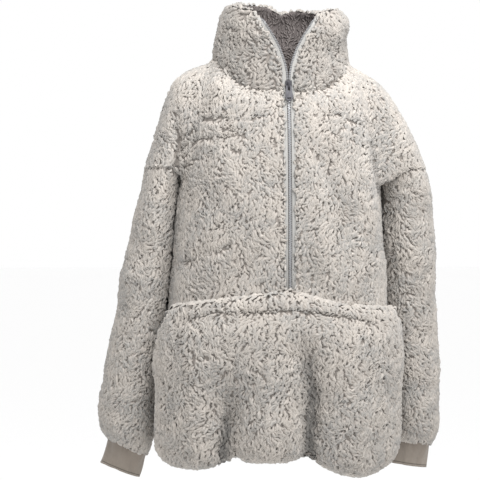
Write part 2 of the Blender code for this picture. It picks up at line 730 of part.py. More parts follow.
def add_sleeve(shell, name, table, wrinkles, side, top, under):
    """A sleeve from the armhole seam to the seam of its cuff. Its rings run outside, then inside."""
    columns = list(LEFT_SIDE if side > 0 else reversed(RIGHT_SIDE))
    ring = [top[c] for c in columns] + [under[c] for c in reversed(columns[1:-1])]
    last_z = min(row.z for row in table)
    rings = [ring]
    for k in range(1, SLEEVE_RINGS + 1):
        share = k / SLEEVE_RINGS
        z = mix(ARMHOLE_Z, last_z, 1.16 * share - 0.16 * share**4)
        points = sleeve_ring(table, wrinkles, side, z)
        rings.append([shell.add(p) for p in points])
    for high, low in zip(rings, rings[1:]):
        if side > 0:
            shell.quads(name, low, high, closed=True)
        else:
            shell.quads(name, low[::-1], high[::-1], closed=True)
    return rings


def piece_faces(shell, name):
    return [face for face, piece in zip(shell.faces, shell.pieces) if piece == name]


def fleece_piece(shell, inner, name, look):
    return solid(name, shell.points, inner, piece_faces(shell, name), look)


def between(shell, rows, row, column):
    """A point on the body and the way out from it, at a row and column given in parts."""
    r = min(len(rows) - 2, max(0, int(row)))
    c = min(len(rows[0]) - 2, max(0, int(column)))
    v, u = row - r, column - c

    def blend(values):
        low = values[rows[r][c]].lerp(values[rows[r][c + 1]], u)
        high = values[rows[r + 1][c]].lerp(values[rows[r + 1][c + 1]], u)
        return low.lerp(high, v)

    return blend(shell.points), blend(shell.normals).normalized()


def front_rows(rows):
    """The body's rows under the pocket, each running from the right side seam to the left one."""
    return [row[RIGHT_SEAM:] + row[: LEFT_SEAM + 1] for row in rows["torso"]]


def pocket_grid(shell, rows):
    """For each place of the pocket: a point of the front, the way out, and where it lies."""
    sheet = front_rows(rows)
    middle = (len(sheet[0]) - 1) / 2
    heights = [shell.points[row[0]].z for row in sheet]
    rolled = len(HEM_ROLL)
    bottom = rolled - 3.0

    def row_at(z):
        k = max(i for i in range(rolled, len(heights) - 1) if heights[i] <= max(z, heights[rolled]))
        return k + (z - heights[k]) / (heights[k + 1] - heights[k])

    grid = []
    for j in range(POCKET_ROWS + 1):
        down = j / POCKET_ROWS
        line = []
        for i in range(POCKET_COLUMNS + 1):
            across = 2.0 * i / POCKET_COLUMNS - 1.0
            top_row = row_at(along(POCKET_TOP, "across", across, "z"))
            row = mix(top_row, bottom, down)
            z = heights[int(row)] if row < rolled else mix(heights[int(row)], heights[int(row) + 1], row % 1)
            side = "right" if across < 0 else "left"
            reach = along(POCKET_EDGES, "z", z, side)
            column = middle + across * reach * middle
            point, out = between(shell, sheet, row, column)
            line.append((point, out, across, down, z))
        grid.append(line)
    return grid


def pocket_room(across, down, z):
    """The space for the hands behind the pocket: none at its seams, most in the middle."""
    sides = smooth((1.0 - abs(across)) / 0.22)
    ends = smooth(down / 0.16) * smooth((1.0 - down) / 0.12)
    room = POCKET_ROOM * sides * ends
    mouth = smooth((z - POCKET_MOUTH_END_Z) / 0.03) * smooth(down / 0.10)
    return room + POCKET_MOUTH * mouth * (1.0 - 0.55 * sides)


def pocket_rise(across, down, z, width, height):
    """The turned hems of the pocket's top and mouths, raised, with a stitched line beside them."""
    from_top = down * height
    from_side = (1.0 - abs(across)) * width
    mouth = smooth((z - POCKET_MOUTH_END_Z) / 0.03)
    top = smooth((POCKET_HEM + 0.006 - from_top) / 0.012)
    side = smooth((POCKET_HEM + 0.006 - from_side) / 0.012) * mouth
    dip = math.exp(-(((from_top - POCKET_HEM - 0.012) / 0.008) ** 2))
    return POCKET_HEM_RISE * max(top, side) - 0.003 * dip


def add_pocket(shell, rows, look):
    grid = pocket_grid(shell, rows)
    outer, inner, numbers = [], [], []
    height = (grid[0][POCKET_COLUMNS // 2][0] - grid[-1][POCKET_COLUMNS // 2][0]).length
    for line in grid:
        width = sum((b[0] - a[0]).length for a, b in zip(line, line[1:])) / 2
        row = []
        for point, out, across, down, z in line:
            room = POCKET_GAP + pocket_room(across, down, z)
            rise = pocket_rise(across, down, z, width, height)
            inner.append(point + out * room)
            outer.append(point + out * (room + POCKET_FLEECE + rise))
            row.append(len(outer) - 1)
        numbers.append(row)
    faces = []
    for high, low in zip(numbers, numbers[1:]):
        for i in range(POCKET_COLUMNS):
            faces.append((low[i], low[i + 1], high[i + 1], high[i]))
    return solid("pocket", outer, inner, faces, look, gap=0.0)


def add_lining(shell, inner, rows, look):
    """The short-pile facing inside the collar and just below the neck seam."""
    lined = rows["upper"][-3:] + rows["collar"][1:]
    deep = {}
    surface = {}
    for row in lined:
        for i in row:
            surface[i] = inner[i] - shell.normals[i] * LAID_GAP
            deep[i] = inner[i] - shell.normals[i] * (LAID_GAP + LINING)
    faces = []
    for low, high in zip(lined, lined[1:]):
        faces += [(low[i], low[i + 1], high[i + 1], high[i]) for i in range(len(low) - 1)]
    return solid("collar_lining", surface, deep, faces, look)


def add_cuff(name, shell, inner, ring, tilt, side, look):
    """A jersey cuff, sewn edge to edge with the rim of its sleeve."""
    around = len(ring)
    start = [shell.points[i].lerp(inner[i], 0.30) for i in ring]
    middle = sum(start, Vector()) / around
    angle = math.radians(tilt)
    down = Vector((side * math.sin(angle), 0.0, -math.cos(angle)))
    sideways = Vector((side * math.cos(angle), 0.0, math.sin(angle)))
    outer, within, faces = [], [], []
    for k in range(CUFF_RINGS + 1):
        share = k / CUFF_RINGS
        for i, point in enumerate(start):
            flat = point - middle
            a = math.atan2(flat.y, flat.dot(sideways))
            goal = sideways * (CUFF_END_HALF_WIDTH * math.cos(a))
            goal += Vector((0, CUFF_END_HALF_DEPTH * math.sin(a), 0))
            off = flat.lerp(goal, smooth(share * 1.3))
            base = middle + off + down * (0.0006 + share * CUFF_LENGTH)
            outer.append(base)
            within.append(base - off.normalized() * JERSEY)
    for k in range(CUFF_RINGS):
        for i in range(around):
            n = (i + 1) % around
            low, high = (k + 1) * around, k * around
            faces.append((low + i, low + n, high + n, high + i))
    if side < 0:
        faces = [face[::-1] for face in faces]
    return solid(name, outer, within, faces, look, gap=0.0)


def add_hem_band(shell, rows, look):
    """The jersey band that the bloused body is gathered onto, hanging inside its rolled edge."""
    rim = rows["torso"][0]
    start = [shell.points[i] + shell.normals[i] * LAID_GAP for i in rim]
    around = len(rim)
    outer, within, faces = [], [], []
    for k in range(BAND_ROWS + 1):
        share = k / BAND_ROWS
        for point in start:
            away = Vector((point.x, point.y - TORSO_Y, 0)).normalized()
            below = point - away * BAND_LEAN * share
            below.z -= share * BAND_HEIGHT
            outer.append(below)
            within.append(below - away * JERSEY)
    for k in range(BAND_ROWS):
        for i in range(around):
            n = (i + 1) % around
            low, high = (k + 1) * around, k * around
            faces.append((low + i, low + n, high + n, high + i))
    return solid("hem_band", outer, within, faces, look, gap=0.0)


class ZipEdge:
    """One cut edge of the opening, from the zip's end up to the collar's top, read by a rising step."""

    def __init__(self, shell, rows, side):
        straight, opened = opening_rows(rows)
        self.steps = []
        for row in straight + opened:
            number = row[0 if side > 0 else -1]
            out = shell.normals[number]
            sunk = shell.points[number] - out * TAPE_SINK
            self.steps.append((sunk, shell.edges[number], out))
        self.heights = [step[0].z for step in self.steps]

    def at(self, z):
        """The edge's point at the tape's depth, the way across the opening and the way out."""
        k = max(i for i in range(len(self.steps) - 1) if self.heights[i] <= max(z, self.heights[0]))
        share = (z - self.heights[k]) / (self.heights[k + 1] - self.heights[k])
        low, high = self.steps[k], self.steps[k + 1]
        return [low[n].lerp(high[n], share) for n in range(3)]


def strip(name, edge, levels, near, far, thick, look):
    """A flat strip along one edge of the opening, between two distances from the edge."""
    outer, inner, faces = [], [], []
    for z in levels:
        point, across, out = edge.at(z)
        for reach in (near, far):
            outer.append(point + across * reach + out * thick / 2)
            inner.append(point + across * reach - out * thick / 2)
    for i in range(len(levels) - 1):
        faces.append((2 * i, 2 * i + 1, 2 * i + 3, 2 * i + 2))
    return solid(name, outer, inner, faces, look, gap=0.0)


def levels_between(low, high, count):
    return [mix(low, high, i / count) for i in range(count + 1)]


def add_zip(shell, rows, tape_look, chain_look, metal):
    """Tapes, the closed chain, the open half chains, the slider and its pull tab."""
    right, left = ZipEdge(shell, rows, -1), ZipEdge(shell, rows, 1)
    bottom = ZIP_END_Z + ZIP_END_GAP
    below = SLIDER_Z - SLIDER_LENGTH / 2 - SEAM_GAP
    above = SLIDER_Z + SLIDER_LENGTH / 2 + SLIDER_MOUTH
    closed = levels_between(bottom, below, 10)
    opened = levels_between(above, TAPE_TOP_Z, 8)
    width = SLIT_HALF - CHAIN_HALF - TAPE_GAP - SEAM_GAP
    near = TAPE_GAP + width + SEAM_GAP
    for side, edge in (("right", right), ("left", left)):
        strip(f"zip_tape_{side}", edge, closed + opened, TAPE_GAP, TAPE_GAP + width, TAPE, tape_look)
        strip(f"zip_chain_{side}", edge, opened, near, near + OPEN_CHAIN, CHAIN_THICK, chain_look)
    outer, inner, faces = [], [], []
    far = SLIT_HALF - CHAIN_HALF
    for z in closed:
        for edge in (right, left):
            point, across, out = edge.at(z)
            base = point + across * far
            outer.append(base + out * CHAIN_THICK / 2)
            inner.append(base - out * CHAIN_THICK / 2)
    for i in range(len(closed) - 1):
        faces.append((2 * i, 2 * i + 1, 2 * i + 3, 2 * i + 2))
    solid("zip_chain", outer, inner, faces, chain_look, gap=0.0)
    places = []
    for z in (above, below, SLIDER_Z - PULL_LENGTH):
        ends = [edge.at(z) for edge in (right, left)]
        places.append(sum((point + across * far for point, across, out in ends), Vector()) / 2)
    add_slider(*places, metal)


def leaning(high, low):
    """A turn about X that brings an upright piece in line with the cloth between two points."""
    return Matrix.Rotation(math.atan2(low.y - high.y, high.z - low.z), 4, "X")


def add_slider(above, below, hanging, metal):
    """The slider, whose side grooves hold the tapes, with its lug, and the pull tab hung on it."""
    frame = Matrix.Translation((above + below) / 2) @ leaning(above, below)
    half, groove, post = SLIDER_WIDTH / 2, TAPE / 2 + GROOVE_GAP, CHAIN_HALF - 2 * SEAM_GAP
    deep = SLIDER_THICK / 2
    outline = [(-half, -deep), (half, -deep), (half, -groove), (post, -groove), (post, groove)]
    outline += [(half, groove), (half, deep), (-half, deep), (-half, groove), (-post, groove)]
    outline += [(-post, -groove), (-half, -groove)]
    mesh = bmesh.new()
    low = [mesh.verts.new((x, y, -SLIDER_LENGTH / 2)) for x, y in outline]
    face = mesh.faces.new(low)
    swept = bmesh.ops.extrude_face_region(mesh, geom=[face])
    moved = [v for v in swept["geom"] if isinstance(v, bmesh.types.BMVert)]
    bmesh.ops.translate(mesh, verts=moved, vec=(0, 0, SLIDER_LENGTH))
    bmesh.ops.recalc_face_normals(mesh, faces=mesh.faces)
    slider = keep("zip_slider", mesh, metal)
    axis_y = -(deep + PULL_SWING + SEAM_GAP)
    foot, crown = -deep + LUG_ROOT, axis_y - PULL_SWING - SEAM_GAP
    lug = [(foot, -LUG_LENGTH / 2), (crown - LUG_BAR, -LUG_LENGTH / 2)]
    lug += [(crown - LUG_BAR, LUG_LENGTH / 2), (foot, LUG_LENGTH / 2)]
    hole = [(-deep, -LUG_LENGTH / 2 + LUG_BAR), (crown, -LUG_LENGTH / 2 + LUG_BAR)]
    hole += [(crown, LUG_LENGTH / 2 - LUG_BAR), (-deep, LUG_LENGTH / 2 - LUG_BAR)]
    mesh = bmesh.new()
    rings = []
    for x in (-LUG_WIDTH / 2, LUG_WIDTH / 2):
        rings.append([mesh.verts.new((x, y, z)) for y, z in lug + hole])
    a, b = rings
    for i, k in ((0, 1), (1, 2), (2, 3)):
        mesh.faces.new((a[i], a[k], b[k], b[i]))
        mesh.faces.new((a[4 + k], a[4 + i], b[4 + i], b[4 + k]))
        mesh.faces.new((a[k], a[i], a[4 + i], a[4 + k]))
        mesh.faces.new((b[i], b[k], b[4 + k], b[4 + i]))
    mesh.faces.new((a[0], b[0], b[4], a[4]))
    mesh.faces.new((a[3], a[7], b[7], b[3]))
    bmesh.ops.recalc_face_normals(mesh, faces=mesh.faces)
    lug_object = cutter("lug", mesh)
    join(slider, lug_object, "UNION")
    slider.matrix_world = frame
    hinge_z = -LUG_LENGTH / 2 + LUG_BAR + SEAM_GAP + PULL_SWING
    hinge = frame @ Vector((0, axis_y, hinge_z))
    add_pull(Matrix.Translation(hinge) @ leaning(below, hanging), metal)


def add_pull(hinge, metal):
    """The pull tab, with its hinge bar at its origin, a window for the lug and a slot near its end."""
    mesh = bmesh.new()
    outline = [(-PULL_TOP_HALF, PULL_BAR / 2), (PULL_TOP_HALF, PULL_BAR / 2)]
    low = -PULL_LENGTH + PULL_END_HALF
    for k in range(9):
        a = math.pi * k / 8
        outline.append((PULL_END_HALF * math.cos(a), low - PULL_END_HALF * math.sin(a)))
    made = [mesh.verts.new((x, -PULL_THICK / 2, z)) for x, z in outline]
    swept = bmesh.ops.extrude_face_region(mesh, geom=[mesh.faces.new(made)])
    moved = [v for v in swept["geom"] if isinstance(v, bmesh.types.BMVert)]
    bmesh.ops.translate(mesh, verts=moved, vec=(0, PULL_THICK, 0))
    bmesh.ops.recalc_face_normals(mesh, faces=mesh.faces)
    pull = keep("zip_pull", mesh, metal)
    window = -PULL_BAR / 2 - PULL_WINDOW / 2
    slot = -PULL_LENGTH + PULL_MARGIN + PULL_SLOT / 2
    for name, z, half, tall in (
        ("window", window, PULL_WINDOW_HALF, PULL_WINDOW),
        ("slot", slot, PULL_SLOT_HALF, PULL_SLOT),
    ):
        mesh = bmesh.new()
        bmesh.ops.create_cube(mesh, size=1.0)
        bmesh.ops.scale(mesh, verts=mesh.verts, vec=(2 * half, 4 * PULL_THICK, tall))
        bmesh.ops.translate(mesh, verts=mesh.verts, vec=(0, 0, z))
        join(pull, cutter(name, mesh), "DIFFERENCE")
    pull.matrix_world = hinge


def cutter(name, mesh):
    data = bpy.data.meshes.new(name)
    mesh.to_mesh(data)
    mesh.free()
    made = bpy.data.objects.new(name, data)
    made.hide_render = True
    made.display_type = "WIRE"
    bpy.data.collections["cutters"].objects.link(made)
    return made


def join(target, tool, operation):
    change = target.modifiers.new(tool.name, "BOOLEAN")
    change.operation = operation
    change.object = tool
    change.solver = "EXACT"
    tool.parent = target


def main():
    clear_scene()
    for name in ("pullover", "cutters"):
        bpy.context.scene.collection.children.link(bpy.data.collections.new(name))
    pile = material("curly pile", PILE_COLOUR, 0.95)
    soft = material("short pile lining", LINING_COLOUR, 0.95)
    jersey = material("smooth jersey", JERSEY_COLOUR, 0.85)
    tape = material("zip tape", TAPE_COLOUR, 0.80)
    chain = material("silver zip metal", CHAIN_COLOUR, 0.35, 1.0)
    metal = material("dark zip metal", METAL_COLOUR, 0.38, 1.0)
    shell, rows = body_shell()
    inner = [p - n * FLEECE for p, n in zip(shell.points, shell.normals)]
    for name in ("front", "back", "collar", "sleeve_right", "sleeve_left"):
        fleece_piece(shell, inner, name, pile)
    add_pocket(shell, rows, pile)
    add_lining(shell, inner, rows, soft)
    add_cuff("cuff_right", shell, inner, rows["right"][-1], RIGHT_SLEEVE_ROWS[-1].tilt, -1, jersey)
    add_cuff("cuff_left", shell, inner, rows["left"][-1], LEFT_SLEEVE_ROWS[-1].tilt, 1, jersey)
    add_hem_band(shell, rows, jersey)
    add_zip(shell, rows, tape, chain, metal)


main()
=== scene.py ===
import math
from collections import namedtuple

import bmesh
import bpy
import numpy as np
from mathutils import Matrix, Vector, noise
from mathutils.bvhtree import BVHTree


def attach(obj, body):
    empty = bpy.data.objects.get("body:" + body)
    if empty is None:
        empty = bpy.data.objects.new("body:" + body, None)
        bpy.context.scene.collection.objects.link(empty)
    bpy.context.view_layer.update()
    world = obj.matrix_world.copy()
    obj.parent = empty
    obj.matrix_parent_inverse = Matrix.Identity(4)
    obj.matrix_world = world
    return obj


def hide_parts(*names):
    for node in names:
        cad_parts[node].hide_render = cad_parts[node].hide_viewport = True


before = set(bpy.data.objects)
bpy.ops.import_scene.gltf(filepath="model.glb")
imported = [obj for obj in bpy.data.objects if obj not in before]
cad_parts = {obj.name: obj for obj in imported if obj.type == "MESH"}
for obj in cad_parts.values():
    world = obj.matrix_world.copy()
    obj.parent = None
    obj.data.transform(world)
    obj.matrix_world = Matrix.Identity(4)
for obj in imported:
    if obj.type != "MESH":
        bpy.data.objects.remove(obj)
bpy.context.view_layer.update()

# Front panel. Curly pile fleece: a knitted ground with locks of wavy pile on its outer side that
# lie mostly downward, in rows where the cloth bends. It is cut in one with the front of the upper
# arm, slit from the neck to the pocket for the zip, and rolled under at the bottom edge.
FLEECE_WALL = 0.010
PILE_DEPTH = 0.0042
GROUND_TAUPE = (0.320, 0.288, 0.260, 1.0)
# Painted light: the root colour is lighter than the tips, to lift the shade deep between the locks.
PAINTED_LIGHT_ROOT = (0.520, 0.477, 0.437, 1.0)
PILE_GREY = (0.308, 0.299, 0.285, 1.0)
PILE_CREAM = (0.432, 0.399, 0.362, 1.0)
LOCK_STATIONS = (0.30, 0.58, 0.82)
LOCK_GIRTHS = ((0.0, 0.55), (0.30, 1.0), (0.58, 0.96), (0.82, 0.70), (1.0, 0.0))
LOCK_KNOTS = (0.0, 0.35, 0.70, 1.0)
LOCK_ROUNDNESS = 0.62
LOCK_THICKNESS = 0.34
LOCK_HUG = 0.78
CLUMP_RISE = 0.0010

# Soft folds of the whole cloth: half the width, how deep they go in (below zero they swell out), and
# a line of places with the share of the depth at each. Partings are sharp lines where the locks above
# end and the pile opens.
Fold = namedtuple("Fold", "half_width depth points")
Parting = namedtuple("Parting", "x1 z1 x2 z2")
PARTING_WIDTH = 0.0035
PARTING_DEPTH = 0.0006
FRONT_FOLDS = (
    Fold(0.014, 0.0045, (
        (0.025, -0.140, 0.5), (0.064, -0.182, 1.0), (0.098, -0.249, 1.0), (0.110, -0.334, 0.3),
    )),
    Fold(0.012, 0.0040, ((0.030, -0.270, 0.4), (0.040, -0.330, 1.0), (0.050, -0.385, 0.8))),
    Fold(0.008, 0.0080, (
        (0.130, -0.098, 0.1), (0.149, -0.108, 0.6), (0.157, -0.158, 1.0), (0.167, -0.221, 1.0),
        (0.174, -0.318, 0.6),
    )),
    Fold(0.009, 0.0075, (
        (-0.187, -0.075, 0.2), (-0.182, -0.110, 0.7), (-0.180, -0.158, 1.0), (-0.182, -0.200, 1.0),
    )),
    Fold(0.0050, 0.0046, ((-0.184, -0.080, 0.3), (-0.182, -0.118, 1.0), (-0.181, -0.172, 1.0))),
    Fold(0.022, -0.0040, ((-0.105, -0.160, 0.3), (-0.100, -0.230, 1.0), (-0.125, -0.330, 0.6))),
    Fold(0.020, -0.0035, ((0.133, -0.200, 0.4), (0.140, -0.270, 1.0), (0.133, -0.350, 0.6))),
    Fold(0.010, 0.0030, ((-0.192, -0.344, 0.4), (-0.142, -0.327, 1.0), (-0.090, -0.304, 0.4))),
)
FRONT_PARTINGS = (
    Parting(-0.1545, -0.1323, -0.1246, -0.1263),
    Parting(-0.1166, -0.1283, -0.0698, -0.1253),
    Parting(-0.0649, -0.0929, -0.0400, -0.0943),
    Parting(-0.1100, -0.1140, -0.0820, -0.1185),
    Parting(-0.1396, -0.0943, -0.0947, -0.0966),
    Parting(-0.0997, -0.1448, -0.0823, -0.1560),
    Parting(-0.1744, -0.1288, -0.1520, -0.1090),
    Parting(-0.1835, -0.0850, -0.1820, -0.1250),
    Parting(-0.1820, -0.1250, -0.1812, -0.1750),
    Parting(-0.1744, -0.1460, -0.1520, -0.1288),
    Parting(-0.1720, -0.1610, -0.1496, -0.1437),
    Parting(-0.1670, -0.1758, -0.1420, -0.1560),
    Parting(-0.1297, -0.2919, -0.1122, -0.2697),
    Parting(-0.1780, -0.3400, -0.1500, -0.3300),
    Parting(-0.1180, -0.3210, -0.0940, -0.3060),
    Parting(0.0647, -0.0906, 0.0871, -0.0892),
    Parting(0.0944, -0.0929, 0.1195, -0.0966),
    Parting(0.1219, -0.1300, 0.1317, -0.1436),
    Parting(0.0747, -0.1189, 0.0896, -0.1313),
    Parting(0.0560, -0.1480, 0.0720, -0.1540),
)

# Where the pile has been pushed off its downward lie: a place, its reach and the turn in degrees,
# clockwise as seen from outside. A row pitch above zero combs it into ledges there.
Comb = namedtuple("Comb", "x z reach turn pitch")
FRONT_COMBS = (
    Comb(-0.165, -0.215, 0.050, -42, 0),
    Comb(-0.175, -0.130, 0.040, -35, 0),
    Comb(-0.100, -0.110, 0.055, 8, 0.0145),
    Comb(-0.060, -0.190, 0.040, -12, 0),
    Comb(0.110, -0.095, 0.055, 22, 0.0150),
    Comb(0.180, -0.150, 0.050, 40, 0),
    Comb(0.060, -0.250, 0.050, 18, 0),
    Comb(0.150, -0.310, 0.050, 25, 0.0170),
    Comb(-0.120, -0.330, 0.050, -20, 0),
)


WELD = 0.00002
STEP_OFF = 0.0001
WALL_SEEK = 1.9
SAME_SIDE = math.radians(75)
NEARLY_FLAT = math.radians(25)


def welded(node):
    """The node's solid with its loose triangles joined at their corners."""
    made = bmesh.new()
    made.from_mesh(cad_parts[node].data)
    bmesh.ops.remove_doubles(made, verts=made.verts, dist=WELD)
    return made


def cloth_copy(node, wall):
    """The node's cloth, each face marked 1 on the face side, 2 on the back and 0 at the edge."""
    cloth = welded(node)
    cloth.normal_update()
    side = cloth.faces.layers.int.new("side")
    tree = BVHTree.FromBMesh(cloth)
    unmarked = set()
    for face in cloth.faces:
        start = face.calc_center_median() - face.normal * (2 * STEP_OFF)
        place, normal, _, _ = tree.ray_cast(start, -face.normal, WALL_SEEK * wall)
        if place is not None and normal.dot(face.normal) < -0.5:
            unmarked.add(face)
    patches = []
    while unmarked:
        patch = [min(unmarked, key=lambda f: f.index)]
        unmarked.discard(patch[0])
        for face in patch:
            for edge in face.edges:
                for other in edge.link_faces:
                    if other in unmarked and edge.calc_face_angle(0) < SAME_SIDE:
                        unmarked.discard(other)
                        patch.append(other)
        patches.append(patch)
    patches.sort(key=lambda patch: -sum(f.calc_area() for f in patch))
    middle = sum((v.co for v in cloth.verts), Vector()) / len(cloth.verts)
    for patch in patches[:2]:
        facing = sum(f.calc_area() * f.normal.dot(f.calc_center_median() - middle) for f in patch)
        for face in patch:
            face[side] = 1 if facing > 0 else 2
    for _ in range(3):
        for face in [f for f in cloth.faces if f[side] == 0]:
            for edge in face.edges:
                for other in edge.link_faces:
                    if other[side] and edge.calc_face_angle(0) < NEARLY_FLAT:
                        face[side] = other[side]
    return cloth


def side_normals(cloth, wanted):
    """The normal of each point, averaged over the faces whose mark is wanted."""
    side = cloth.faces.layers.int["side"]
    normals = {}
    for vert in cloth.verts:
        total = Vector()
        for face in vert.link_faces:
            if face[side] in wanted:
                total += face.normal * face.calc_area()
        if total.length > 0:
            normals[vert] = total.normalized()
    return normals


FOLD_REACH = 2.5


def fold_depth(point, folds):
    """How far in the folds move a place."""
    depth = 0.0
    for fold in folds:
        nearest, strength = math.inf, 0.0
        for (x1, z1, share1), (x2, z2, share2) in zip(fold.points, fold.points[1:]):
            run, drop = x2 - x1, z2 - z1
            along = ((point.x - x1) * run + (point.z - z1) * drop) / (run * run + drop * drop)
            along = max(0.0, min(1.0, along))
            away = math.hypot(point.x - x1 - run * along, point.z - z1 - drop * along) / fold.half_width
            if away < nearest:
                nearest, strength = away, share1 + (share2 - share1) * along
        if nearest < FOLD_REACH:
            depth += fold.depth * strength * math.exp(-nearest * nearest)
    return depth


def neighbours_of(node):
    """The other pieces as they stand in the frame, to see what lies close."""
    others = bmesh.new()
    for other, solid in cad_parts.items():
        if other != node:
            others.from_mesh(solid.data)
    covers = BVHTree.FromBMesh(others)
    others.free()
    return covers


def refine(cloth, smoothing):
    """Quads in place of triangles, twice as fine, with the facets of the coarse shape evened out."""
    bmesh.ops.join_triangles(
        cloth, faces=cloth.faces,
        angle_face_threshold=math.radians(40), angle_shape_threshold=math.radians(60),
    )
    bmesh.ops.subdivide_edges(cloth, edges=cloth.edges, cuts=1, use_grid_fill=True)
    side = cloth.faces.layers.int["side"]
    free = [v for v in cloth.verts if len({f[side] for f in v.link_faces}) == 1 and v.link_faces[0][side]]
    for _ in range(smoothing):
        bmesh.ops.smooth_vert(
            cloth, verts=free, factor=0.5, use_axis_x=True, use_axis_y=True, use_axis_z=True
        )
    cloth.normal_update()


WALL_THINNING = 0.0026
PAST_WALL = 0.0005
OFF_LINING = 0.0003
LOOK_BEHIND = 0.03
CLEARANCE = 0.0006


def fold_wall(cloth, wall, folds, covers):
    """Moves both sides of the wall by the folds, no further in than what lies behind leaves room."""
    outer, inner = side_normals(cloth, {1}), side_normals(cloth, {2})
    moves = {}
    for vert in cloth.verts:
        depth = fold_depth(vert.co, folds)
        if vert in outer:
            way, behind, spare = outer[vert], wall + PAST_WALL, WALL_THINNING
        elif vert in inner:
            way, behind, spare = -inner[vert], OFF_LINING, 0.0
        else:
            continue
        if depth > 0:
            room = covers.ray_cast(vert.co - way * behind, -way, LOOK_BEHIND)[3]
            if room is not None:
                depth = min(depth, max(0.0, room - CLEARANCE) + spare)
        moves[vert] = Vector((way.x, way.y, 0)) * -depth
    for vert in [v for v in cloth.verts if v not in moves]:
        beside = [moves[e.other_vert(vert)] for e in vert.link_edges if e.other_vert(vert) in moves]
        if beside:
            moves[vert] = sum(beside, Vector()) / len(beside)
    for vert, move in moves.items():
        vert.co += move
    cloth.normal_update()


COVER_REACH = 0.020
COVERED_SHARE = 0.15


def sink_side(cloth, mark, depth, covers=None, partings=()):
    """Moves one side of the wall in by depth, less where a neighbour lies close on it, more in partings."""
    furrows = [Fold(PARTING_WIDTH, PARTING_DEPTH, ((p.x1, p.z1, 1.0), (p.x2, p.z2, 1.0))) for p in partings]
    for vert, normal in side_normals(cloth, {mark}).items():
        share = 1.0
        if covers is not None:
            clear = covers.ray_cast(vert.co + normal * STEP_OFF, normal, COVER_REACH)[3]
            if clear is not None:
                share = max(0.0, clear / COVER_REACH - COVERED_SHARE)
        vert.co -= normal * (depth * share + fold_depth(vert.co, furrows))
    cloth.normal_update()


def linked(name, data):
    """The data as an object in the scene."""
    made = bpy.data.objects.new(name, data)
    bpy.context.collection.objects.link(made)
    return made


def piece_of(name, shape, material, body="garment"):
    """A piece in its material that moves with its body."""
    data = bpy.data.meshes.new(name)
    shape.to_mesh(data)
    data.materials.append(material)
    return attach(linked(name, data), body)


def smoothed(piece, crease):
    """The piece with smooth faces, and a crease where it bends by more degrees than that."""
    for polygon in piece.data.polygons:
        polygon.use_smooth = True
    piece.data.set_sharp_from_angle(angle=math.radians(crease))
    return piece


CLOTH_CREASE = 50


def spread(places, spacing):
    """Numbers of the places that keep the spacing from each other, in the order they come."""
    kept, cells = [], {}
    near = [(i, j, k) for i in (-1, 0, 1) for j in (-1, 0, 1) for k in (-1, 0, 1)]
    limit = spacing * spacing
    for number, (x, y, z) in enumerate(places.tolist()):
        a, b, c = int(x // spacing), int(y // spacing), int(z // spacing)
        crowded = False
        for i, j, k in near:
            for px, py, pz in cells.get((a + i, b + j, c + k), ()):
                if (px - x) ** 2 + (py - y) ** 2 + (pz - z) ** 2 < limit:
                    crowded = True
                    break
            if crowded:
                break
        if not crowded:
            cells.setdefault((a, b, c), []).append((x, y, z))
            kept.append(number)
    return kept


TRIES_A_PLACE = 3.2
PILE_ROOM = 0.0045


def root_places(cloth, covers, marks, spacing, depth, seed):
    """Places and normals spread over the marked sides, where no other piece lies close on them."""
    side = cloth.faces.layers.int["side"]
    normals = side_normals(cloth, marks)
    corners, directions = [], []
    for face in cloth.faces:
        if face[side] in marks:
            loop = list(face.verts)
            for i in range(1, len(loop) - 1):
                trio = (loop[0], loop[i], loop[i + 1])
                corners.append([tuple(v.co) for v in trio])
                directions.append([tuple(normals[v]) for v in trio])
    corners, directions = np.array(corners), np.array(directions)
    crossed = np.cross(corners[:, 1] - corners[:, 0], corners[:, 2] - corners[:, 0])
    areas = np.linalg.norm(crossed, axis=1) / 2
    chance = np.random.default_rng(seed)
    count = int(areas.sum() / spacing**2 * TRIES_A_PLACE)
    picked = np.searchsorted(np.cumsum(areas) / areas.sum(), chance.random(count)).clip(0, len(areas) - 1)
    u, v = chance.random(count), chance.random(count)
    flip = u + v > 1
    u[flip], v[flip] = 1 - u[flip], 1 - v[flip]
    weights = np.stack([1 - u - v, u, v], axis=1)[:, :, None]
    places = (corners[picked] * weights).sum(axis=1)
    ways = (directions[picked] * weights).sum(axis=1)
    ways /= np.linalg.norm(ways, axis=1)[:, None]
    kept = spread(places, spacing)
    places, ways = places[kept], ways[kept]
    clear = []
    for number, (place, way) in enumerate(zip(places, ways)):
        place, way = Vector(place), Vector(way)
        start = place + way * (depth + 2 * STEP_OFF)
        if covers.ray_cast(start, way, PILE_ROOM)[0] is None:
            clear.append(number)
    return places[clear], ways[clear]


def comb_turn(place, combs):
    """How far the lie of the pile turns at a place, and the pitch and strength of its rows."""
    turn, pitch, pull = 0.0, 0.0, 0.0
    for comb in combs:
        away = math.hypot(place.x - comb.x, place.z - comb.z) / comb.reach
        near = math.exp(-away * away)
        turn += comb.turn * near
        if comb.pitch and near > pull:
            pitch, pull = comb.pitch, near
    return math.radians(turn), pitch, min(1.0, 1.3 * pull)


def parting_stop(place, lie, length, partings):
    """The share of its length that a lock may take before it meets a parting."""
    stop = 1.0
    run, drop = lie.x * length, lie.z * length
    for part in partings:
        wide, high = part.x2 - part.x1, part.z2 - part.z1
        turn = run * high - drop * wide
        if abs(turn) < 1e-9:
            continue
        x, z = part.x1 - place.x, part.z1 - place.z
        along, beside = (x * high - z * wide) / turn, (x * drop - z * run) / turn
        if 0 < along < 1 and 0 <= beside <= 1:
            stop = min(stop, along)
    return stop


